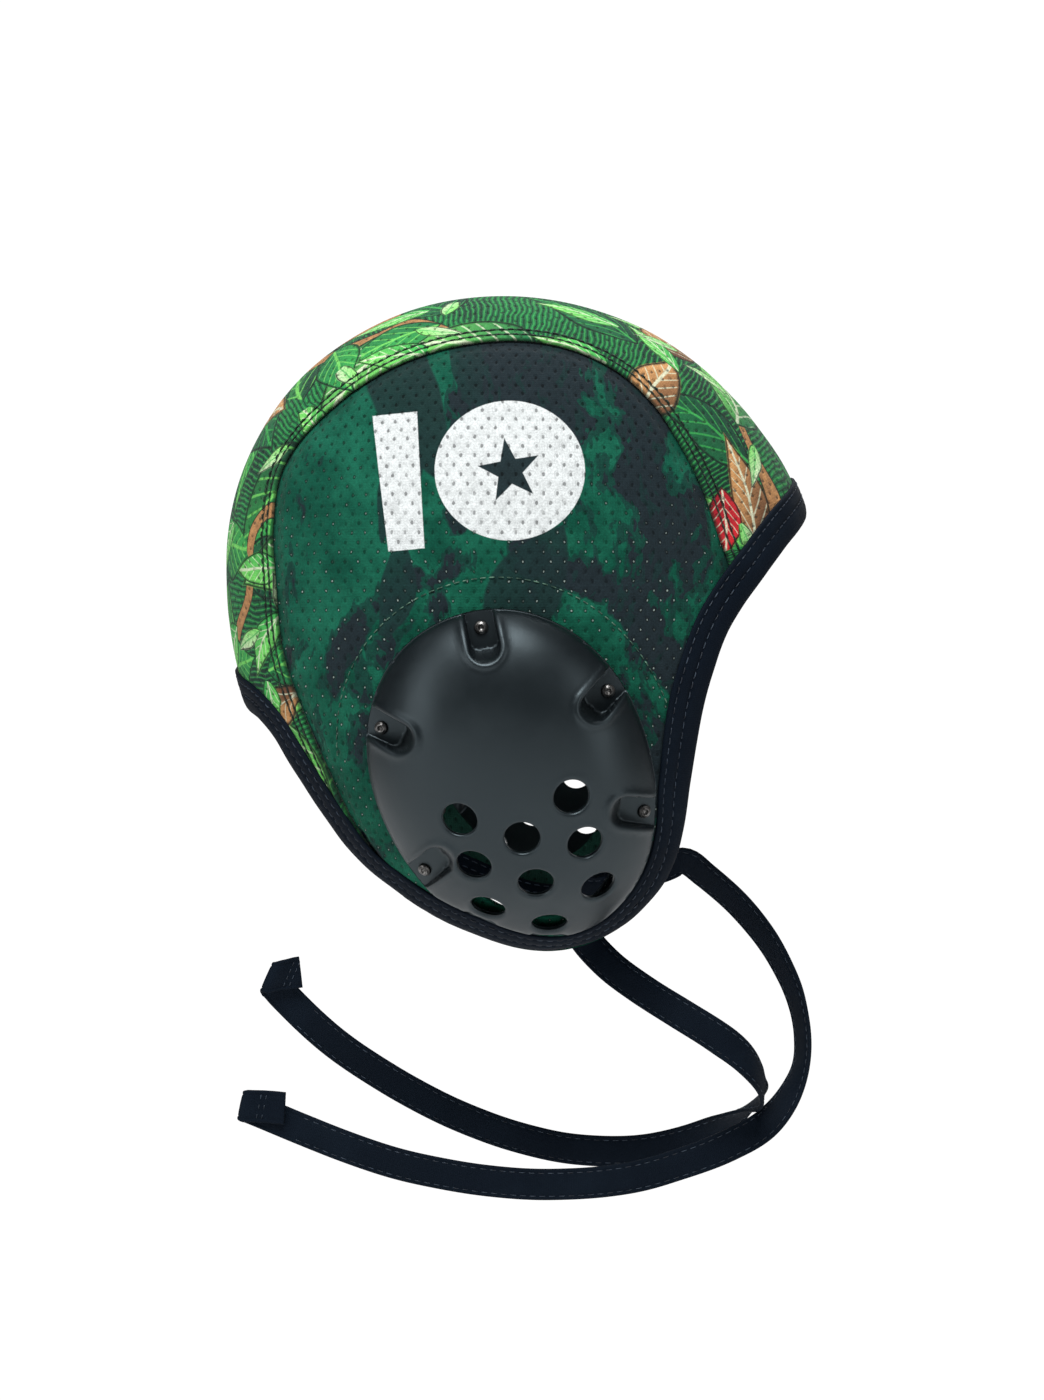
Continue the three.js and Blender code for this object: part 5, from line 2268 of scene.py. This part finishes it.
    def build(self, side: Side) -> list[Piece]:
        """Make the guard.

        Args:
            side: Which side of the head.

        Returns:
            The piece.
        """
        outer, outer_faces, outer_vents, outer_rim = self.sheet(False)
        inner, inner_faces, inner_vents, inner_rim = self.sheet(True)
        count = len(outer)
        points = [outer, inner]
        faces = outer_faces + [[i + count for i in face[::-1]] for face in inner_faces]
        faces = self.outward(np.concatenate(points), faces, len(outer_faces))
        for ids_out, ids_in in zip(outer_vents, inner_vents):
            ring = outer[ids_out] + (inner[ids_in] - outer[ids_out]) * 0.5
            faces += self.bridge(ids_out, sum(map(len, points)), ids_in + count)
            points.append(ring)
        faces += [face[::-1] for face in self.bridge(outer_rim, sum(map(len, points)), inner_rim + count)]
        points.append(self.base_ring(outer[outer_rim]))
        if side is Side.LEFT:
            faces = [face[::-1] for face in faces]
        name = f"guard_shell_{side.label}"
        return [make_object(name, np.concatenate(points) * side.flip, faces, [self.finishes.guard])]

    @staticmethod
    def outward(points: Array, faces: list[list[int]], outer_count: int) -> list[list[int]]:
        """Turn the outside's faces away from the head and the inside's toward it.

        Args:
            points: All points.
            faces: Triangles, the outside's first.
            outer_count: How many are the outside's.

        Returns:
            The triangles.
        """
        corners = points[np.array(faces)]
        facing = np.cross(corners[:, 1] - corners[:, 0], corners[:, 2] - corners[:, 0])[:, 1]
        wanted = np.where(np.arange(len(faces)) < outer_count, -1, 1)
        return [face if f * w > 0 else face[::-1] for face, f, w in zip(faces, facing, wanted)]

    def base_ring(self, rim: Array) -> Array:
        """Foot of the outer rim, on the guard's seat.

        Args:
            rim: Points of the rim.

        Returns:
            One point below each.
        """
        x, z = rim[:, 0], rim[:, 2]
        return np.stack([x, -(FORM.breadth(x, z) + self.seat * self.stretch(x, z)), z], axis=-1)

    @staticmethod
    def bridge(first: Array, start: int, second: Array) -> list[list[int]]:
        """Join two borders through a ring between them.

        Args:
            first: Vertex numbers of one border.
            start: The ring's first vertex number.
            second: Vertex numbers of the other border.

        Returns:
            The faces.
        """
        ring = np.arange(start, start + len(first))
        faces = []
        for low, high in ((first, ring), (ring, second)):
            faces += np.stack([low, high, np.roll(high, -1), np.roll(low, -1)], axis=-1).tolist()
        return faces


@dataclass
class Rivets:
    """The rivets of one guard: domed heads with a hexagon socket, in the pockets."""

    finishes: Finishes
    guard: EarGuard
    head: float = 2.1
    dome: float = 1.1
    socket: float = 0.95
    foot: float = 2.5
    foot_height: float = 0.9

    def places(self) -> list[tuple[Array, Array]]:
        """Where each rivet passes through the cloth's outside, and its axis."""
        found = []
        for pocket in self.guard.pockets:
            rim, out = self.guard.pocket_frame(pocket)
            x, z = rim - out * pocket.rim_to_rivet
            turn, lean = FORM.place(FORM.beside(x, z))
            found.append((FORM.surface(turn, lean), FORM.normal(turn, lean)))
        return found

    def profile(self) -> list[tuple[float, float]]:
        """Half section of a rivet: radius, and height over the cloth."""
        seat = self.guard.floor + 0.1
        top = seat + self.dome
        under = -FORM.cloth - CLEARANCE - 0.5
        rounded = [
            (self.head * math.cos(a) ** 0.8, seat + 0.25 + (self.dome - 0.25) * math.sin(a))
            for a in (0.0, 0.35, 0.7, 1.0)
        ]
        return [
            (0.0, under - self.foot_height),
            (self.foot * 0.8, under - self.foot_height),
            (self.foot, under - self.foot_height * 0.6),
            (self.foot, under),
            (1.1, under),
            (1.1, seat),
            (self.head * 0.95, seat),
            *rounded,
            (self.socket * 1.25, top),
            (self.socket * 1.02, top - 0.06),
        ]

    def build(self, side: Side) -> list[Piece]:
        """Make the rivets.

        Args:
            side: Which side of the head.

        Returns:
            The pieces.
        """
        made = []
        top = self.guard.floor + 0.1 + self.dome
        for number, (point, axis) in enumerate(self.places(), 1):
            first = unit(np.cross(axis, np.array([0.0, 0.0, 1.0])))
            second = np.cross(axis, first)
            sides = 30
            angle = np.linspace(0, 2 * np.pi, sides, endpoint=False) + 0.7 * number
            hexagon = self.socket * math.cos(math.pi / 6) / np.cos((angle % (math.pi / 3)) - math.pi / 6)
            rings = [*self.profile(), (hexagon, top - 0.08), (hexagon, top - 0.75), (0.01, top - 0.8)]
            circle = np.cos(angle)[:, None] * first + np.sin(angle)[:, None] * second
            points = [point + circle * np.reshape(radius, (-1, 1)) + height * axis for radius, height in rings]
            faces = grid_faces(len(rings), sides, closed=True, flipped=side is Side.LEFT)
            name = f"rivet_{side.label}_{number}_plated"
            points = np.concatenate(points) * side.flip
            made.append(make_object(name, points, faces, [self.finishes.rivet]))
        return made


TIE_ROOT_TURN = -77.0
# Sewn end: in from the open edge and away from the binding, in shares of the sewn length
SEWN_RUN = ((1.0, 0.12), (0.5, 0.04), (0.0, 0.06), (-0.6, 0.4), (-1.2, 0.7))
# Free run: ahead, out and down in shares of the reach, half breadth and drop, and roll in degrees
NEAR_RUN = (
    (0.015, 0.23, 0.03, 0), (0.085, 0.29, 0.125, 0), (0.18, 0.4, 0.205, 0), (0.3, 0.54, 0.285, 0),
    (0.41, 0.56, 0.375, 5), (0.494, 0.53, 0.465, 35), (0.545, 0.46, 0.56, 62), (0.565, 0.33, 0.655, 82),
    (0.54, 0.1, 0.75, 70), (0.46, -0.01, 0.855, 35), (0.344, -0.07, 0.94, 10), (0.19, -0.09, 0.99, 0),
    (-0.02, -0.09, 0.985, 0), (-0.2, -0.08, 0.93, 0), (-0.395, -0.05, 0.825, 0), (-0.585, 0.0, 0.68, 0),
    (-0.775, 0.09, 0.487, 0), (-0.918, 0.16, 0.29, 0), (-0.966, 0.19, 0.21, 0),
)
FAR_RUN = (
    (0.08, 0.23, -0.1, 0), (0.19, 0.25, -0.16, 0), (0.275, 0.29, -0.195, 10), (0.34, 0.31, -0.215, 25),
    (0.4, 0.32, -0.16, 30), (0.53, 0.32, 0.0, 35), (0.623, 0.265, 0.165, 45), (0.683, 0.18, 0.325, 55),
    (0.707, 0.07, 0.48, 65), (0.686, -0.07, 0.63, 66), (0.585, -0.24, 0.8, 35), (0.467, -0.28, 0.887, 12),
    (0.307, -0.31, 0.964, 0), (0.152, -0.32, 1.02, 0), (-0.075, -0.325, 1.045, 0),
    (-0.295, -0.32, 1.03, 0), (-0.55, -0.3, 0.97, 0), (-0.74, -0.28, 0.89, 0), (-1.04, -0.236, 0.735, 0),
)


@dataclass
class Tie:
    """A flat tape tie, sewn inside the binding and hanging free, its end folded back and sewn."""

    finishes: Finishes
    side: Side
    width: float = 10.0
    tape: float = 1.3
    reach: float = 100.0
    drop: float = 75.0
    sewn: float = 6.0
    loop: float = 1.4
    stations: int = 260
    run: tuple[tuple[float, ...], ...] = field(init=False)
    fold_lean: float = field(init=False)
    tab: float = field(init=False)
    middle: Array = field(init=False)
    across: Array = field(init=False)
    face: Array = field(init=False)
    at: Array = field(init=False)

    def __post_init__(self) -> None:
        """Take the side's route and fold, and find the stations."""
        self.run = NEAR_RUN if self.side is Side.RIGHT else FAR_RUN
        self.fold_lean, self.tab = (29.0, 11.8) if self.side is Side.RIGHT else (9.0, 16.5)
        self.middle, self.across, self.face, self.at = self.frames()

    def route(self) -> tuple[Array, Array]:
        """Points that the tie follows, and its roll at each.

        Returns:
            Points and rolls in degrees.
        """
        lift = -FORM.cloth - 1.0 - 2 * CLEARANCE - 0.8 - 0.75
        turns = TIE_ROOT_TURN + np.array([-3.0, 0.0, 3.0])
        before, edge, after = OPEN_EDGE.on_line(turns)
        inward = np.array([row[0] for row in SEWN_RUN]) * self.sewn
        away = np.array([row[1] for row in SEWN_RUN]) * self.sewn
        where = OPEN_EDGE.places(np.full(len(SEWN_RUN), TIE_ROOT_TURN), inward)
        sewn = FORM.lifted(*where, lift - away)
        along = unit(sewn[2] - sewn[1])
        upright = unit(np.cross(np.cross(along, np.array([0.0, 1.0, 0.0])), along))
        sewn_roll = math.degrees(math.asin(float(np.dot(unit(after - before), upright))))
        ahead, out, down, roll = np.array(self.run).T
        free = np.stack(
            [edge[0] + ahead * self.reach, -out * FORM.half_breadth, edge[2] - down * self.drop], axis=-1
        )
        points = np.concatenate([sewn, free])
        rolls = np.concatenate([np.full(len(sewn), sewn_roll), roll]) * -self.side.value
        return points * self.side.flip, rolls

    @staticmethod
    def centripetal(points: Array, dense: int = 40) -> tuple[Array, Array]:
        """A smooth line through points, eased by their spacing.

        Args:
            points: The points.
            dense: Steps between each two.

        Returns:
            Points of the line, and where each lies among the given ones.
        """
        padded = np.concatenate([[2 * points[0] - points[1]], points, [2 * points[-1] - points[-2]]])
        gaps = np.maximum(np.linalg.norm(np.diff(padded, axis=0), axis=1) ** 0.5, 1e-4)
        line, place = [], []
        last = len(points) - 2
        for k in range(len(points) - 1):
            p0, p1, p2, p3 = padded[k : k + 4]
            d0, d1, d2 = gaps[k : k + 3]
            start = ((p1 - p0) / d0 - (p2 - p0) / (d0 + d1) + (p2 - p1) / d1) * d1
            finish = ((p2 - p1) / d1 - (p3 - p1) / (d1 + d2) + (p3 - p2) / d2) * d1
            t = np.linspace(0, 1, dense + 1)[: None if k == last else -1, None]
            line.append(
                (2 * t**3 - 3 * t**2 + 1) * p1
                + (t**3 - 2 * t**2 + t) * start
                + (3 * t**2 - 2 * t**3) * p2
                + (t**3 - t**2) * finish
            )
            place.append(k + t[:, 0])
        return np.concatenate(line), np.concatenate(place)

    def frames(self) -> tuple[Array, Array, Array, Array]:
        """Even stations along the tie.

        Returns:
            Their points, directions across the tape, directions off its face, and distances.
        """
        points, rolls = self.route()
        line, place = self.centripetal(points)
        reach = lengths(line)
        at = np.linspace(0, reach[-1], self.stations)
        middle = along_line(line, at)
        roll_rows = tuple((float(i), float(r)) for i, r in enumerate(rolls))
        roll = np.radians(SmoothCurve(roll_rows)(np.interp(at, reach, place)))
        ahead = unit(np.gradient(middle, axis=0))
        flat = unit(np.cross(ahead, np.array([0.0, 1.0, 0.0])))
        edge_on = unit(np.cross(flat, ahead))
        across = unit(flat * np.cos(roll)[:, None] + edge_on * np.sin(roll)[:, None])
        return middle, across, unit(np.cross(ahead, across)), at

    def section(self) -> Array:
        """Half widths and half thicknesses round the tape, with a pressed line near each border."""
        w, t = self.width / 2, self.tape / 2
        top = [
            (w, 0.0),
            (w - 0.12, t * 0.7),
            (w - 0.5, t),
            (w - 1.0, t * 0.92),
            (w - 1.35, t * 0.62),
            (w - 1.7, t * 0.92),
            (w - 2.6, t),
            (0.0, t * 1.05),
        ]
        upper = top + [(-x, y) for x, y in top[-2::-1]]
        lower = [(x, -y) for x, y in upper[::-1]][1:-1]
        return np.array(upper + lower)

    def build(self) -> list[Piece]:
        """Make the tie, its folded end and its stitches.

        Returns:
            The pieces.
        """
        section = self.section()
        wobble = 0.12 * np.sin(self.at / 9.0 + 0.5) + 0.06 * np.sin(self.at / 3.1)
        self.middle = self.middle + self.face * wobble[:, None]
        points = self.middle[:, None] + self.across[:, None] * section[None, :, :1]
        points = points + self.face[:, None] * section[None, :, 1:]
        slant = math.tan(self.fold_turn) * smooth_step(self.at[-1] - 9, self.at[-1], self.at)
        points += unit(self.middle[-1] - self.middle[-3]) * slant[:, None, None] * section[None, :, :1]
        tape = self.tube("tape_tie", points, self.at[:, None], section)
        tab, threads = self.folded_end(), self.sew()
        [float(v) * MM for v in self.middle[0]]
        (self.middle * MM).tolist()
        return [tape, tab, threads]

    def tube(self, name: str, points: Array, along: Array, section: Array) -> Piece:
        """Make a stretch of tape.

        Args:
            name: Its name, without its side.
            points: Rings of points.
            along: Distance of each ring along the tape.
            section: The tape's section.

        Returns:
            The piece.
        """
        around = lengths(np.concatenate([section, section[:1]]))[:-1]
        uv = np.stack(np.broadcast_arrays(along, around[None]), axis=-1).reshape(-1, 2) * MM
        faces = tube_faces(*points.shape[:2])
        finishes = [self.finishes.tape]
        name = f"{name}_{self.side.label}"
        return make_object(name, points.reshape(-1, 3), faces, finishes, {"tape": uv})

    @property
    def fold_turn(self) -> float:
        """Angle of the fold line from square across the tape, in radians."""
        return math.radians(self.fold_lean) * float(np.sign(self.across[-1, 2]))

    @property
    def fold_off(self) -> Array:
        """Way off the tape on which its end is folded."""
        return -self.face[-1] * np.sign(self.face[-1, 1])

    def past_fold(self, beyond: Array, aside: Array, lift: Array) -> Array:
        """Points of the folded layer: round an open loop at the tip, then back over the tape.

        Args:
            beyond: Distances past the fold line.
            aside: Distances from the tape's middle.
            lift: Heights off the layer, outward.

        Returns:
            Points, with a last axis of three.
        """
        turn = self.fold_turn
        side, ahead = self.across[-1], unit(self.middle[-1] - self.middle[-3])
        line = math.cos(turn) * side + math.sin(turn) * ahead
        square = math.cos(turn) * ahead - math.sin(turn) * side
        beyond, aside, lift = np.broadcast_arrays(beyond, aside, lift)
        angle = np.clip(beyond / self.loop, 0, math.pi)
        back = np.maximum(beyond - math.pi * self.loop, 0)
        rest = 1.3 * self.tape
        out = self.loop * np.sin(angle) - back
        rise = self.loop * (1 - np.cos(angle)) + (rest - 2 * self.loop) * smooth_step(0, 5, back)
        rise = rise + 0.8 * smooth_step(self.tab - 9, self.tab - 4, back)
        along = aside * (1 - 0.1 * np.sin(angle) ** 2) / math.cos(turn) + beyond * math.tan(turn)
        return (
            self.middle[-1]
            + line * along[..., None]
            + square * (out + lift * np.sin(angle))[..., None]
            + self.fold_off * (rise - lift * np.cos(angle))[..., None]
        )

    def folded_end(self) -> Piece:
        """Fold the tape back over its last stretch, aslant, with an open loop at the tip.

        Returns:
            The folded stretch.
        """
        section = self.section() * np.array([1.03, 0.95])
        tip = math.pi * self.loop
        beyond = np.concatenate([np.linspace(0, tip, 13), np.linspace(tip, self.tab, 18)[1:]])
        cut = smooth_step(tip, self.tab, beyond)
        reach = beyond[:, None] - cut[:, None] * section[None, :, 0] * math.sin(self.fold_turn)
        points = self.past_fold(reach, section[None, :, 0], section[None, :, 1])
        tab = self.tube("tie_tab", points, beyond[:, None] + 40, section)
        face_out(tab)
        return tab

    def sew(self) -> Piece:
        """Stitch both borders and across the folded end.

        Returns:
            The stitches.
        """
        thread = Thread(pitch=3.0, stitch=2.2, radius=0.15)
        border = self.width / 2 - 1.35
        parts = []
        for side in (1, -1):
            for up in (1, -1):
                line = self.middle + self.across * border * side + self.face * (self.tape * 0.36) * up
                parts.append(thread.sew(line[6:-14], self.face[6:-14] * up))
        aside = np.linspace(-1, 1, 9) * (self.width / 2 - 1.2)
        outward = np.tile(self.fold_off, (9, 1))
        for beyond in (4.0, 5.6):
            cross = self.past_fold(np.full(9, math.pi * self.loop + beyond), aside, self.tape * 0.5)
            parts.append(Thread(2.0, 1.5, 0.16).sew(cross, outward))
        return stitched(f"tie_stitches_{self.side.label}", parts, self.finishes.tape_thread)


@dataclass(frozen=True)
class Softbox:
    """An area light aimed at a point."""

    name: str
    place: tuple[float, float, float]
    size: tuple[float, float]
    power: float
    aim: tuple[float, float, float] = (0.0, 0.0, -0.11)


@dataclass(frozen=True)
class Studio:
    """Camera, lights, pale floor and white background."""

    aim: tuple[float, float, float] = (0.00469, 0.0, -0.12436)
    distance: float = 1.3
    elevation: float = 6.5
    frame_height: float = 0.4375
    floor_z: float = -0.46
    softboxes: tuple[Softbox, ...] = (
        Softbox("top_front_softbox", (-0.16, -0.8, 1.0), (0.9, 0.45), 19.5),
        Softbox("top_back_softbox", (0.15, 0.6, 1.0), (1.0, 0.6), 9.0),
        Softbox("left_softbox", (-1.25, -0.95, 0.15), (0.5, 1.2), 5.5),
        Softbox("right_softbox", (1.25, -0.95, 0.1), (0.5, 1.2), 3.8),
        Softbox("back_softbox", (0.1, 1.4, 0.3), (1.4, 0.9), 5.0),
    )

    @staticmethod
    def hang(name: str, data: bpy.types.ID, place: Vector, aim: Vector) -> Piece:
        """Place a camera or a light.

        Args:
            name: Its name.
            data: Its data.
            place: Where it stands.
            aim: What it is turned to.

        Returns:
            The object.
        """
        made = bpy.data.objects.new(name, data)
        made.location = place
        made.rotation_euler = (aim - place).to_track_quat("-Z", "Y").to_euler()
        bpy.context.scene.collection.objects.link(made)
        return made

    def camera(self) -> None:
        """Set the camera at the photograph's angle."""
        data = bpy.data.cameras.new("camera")
        data.sensor_fit = "VERTICAL"
        data.sensor_height = 36.0
        data.lens = 36.0 * self.distance / self.frame_height
        data.clip_end = 50
        rise, aim = math.radians(self.elevation), Vector(self.aim)
        place = aim + self.distance * Vector((0, -math.cos(rise), math.sin(rise)))
        bpy.context.scene.camera = self.hang("camera", data, place, aim)

    def lights(self) -> None:
        """Hang the softboxes."""
        for box in self.softboxes:
            data = bpy.data.lights.new(box.name, "AREA")
            data.shape = "RECTANGLE"
            data.size, data.size_y = box.size
            data.energy = box.power
            self.hang(box.name, data, Vector(box.place), Vector(box.aim))

    @staticmethod
    def white_to_camera(graph: Graph, kind: str, other: object) -> NodeSocket:
        """Show a surface or the sky as white to the camera alone.

        Args:
            graph: Its graph.
            kind: Emission or Background.
            other: The shader that lights the cap.

        Returns:
            The mixed shader.
        """
        white = graph.node(kind, {"Strength": 1.05, "Color": (1, 1, 1, 1)}).outputs[0]
        seen = graph.node("LightPath").outputs["Is Camera Ray"]
        return graph.node("MixShader", {0: seen, 1: other, 2: white}).outputs[0]

    def world(self) -> None:
        """Light the room softly and keep its background white."""
        world = bpy.data.worlds.new("studio")
        world.use_nodes = True
        world.node_tree.nodes.clear()
        bpy.context.scene.world = world
        graph = Graph(world.node_tree)
        soft = graph.node("Background", {"Color": (0.93, 0.97, 1.0, 1), "Strength": 0.1}).outputs[0]
        graph.node("OutputWorld", {0: self.white_to_camera(graph, "Background", soft)})

    def floor(self) -> None:
        """Lay the pale floor."""
        size, z = 9000.0, self.floor_z / MM
        corners = np.array([[-size, -size, z], [size, -size, z], [size, size, z], [-size, size, z]])
        graph = MaterialGraph("pale_floor")
        material = graph.finish({"Base Color": (0.9, 0.9, 0.9, 1), "Roughness": 0.9})
        mixed = self.white_to_camera(graph, "Emission", graph.shader.outputs[0])
        graph.set(graph.tree.nodes["Material Output"], {"Surface": mixed})
        make_object("floor", corners, [[0, 1, 2, 3]], [material])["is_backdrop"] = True

    def build(self) -> None:
        """Set up the studio."""
        self.camera()
        self.lights()
        self.world()
        self.floor()
        settings = bpy.context.scene.view_settings
        settings.view_transform = "Standard"
        settings.look = "None"


def seat(pieces: Sequence[Piece], slot: str, nodes: Sequence[str] = ()) -> None:
    """Hand pieces to the frame.

    Args:
        pieces: The pieces; the first stands for the nodes.
        slot: A material slot's name; not used.
        nodes: CAD nodes that the first piece replaces.
    """
    for piece in pieces:
        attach(piece, "root")
        LOG.info("%s: %d faces", piece.name, len(piece.data.polygons))
    if nodes:
        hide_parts(*nodes)


def main() -> list[list[list[float]]]:
    """Build the whole scene.

    Returns:
        The CAD model's box.
    """
    logging.basicConfig(level=logging.INFO, format="%(message)s")
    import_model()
    cad_box = [list(corner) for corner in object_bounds()]
    Studio().build()
    finishes = Finishes()
    guard = EarGuard(finishes)
    seat(CrownPanel(finishes).build(), "crown_cloth", ["crown_panel"])
    seat(EdgeBinding(finishes).build(), "tape", ["edge_binding"])
    for side in Side:
        seat(SidePanel(finishes, guard).build(side), "side_cloth", [f"side_panel_{side.label}"])
        seat(guard.build(side), "guard_plastic", [f"ear_guard_{side.label}"])
        for number, rivet in enumerate(Rivets(finishes, guard).build(side), 1):
            seat([rivet], "rivet", [f"rivet_{side.label}_{number}"])
        seat(Tie(finishes, side).build(), "tape", [f"tie_{side.label}"])
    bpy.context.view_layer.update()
    return cad_box


if __name__ == "__main__":
    main()
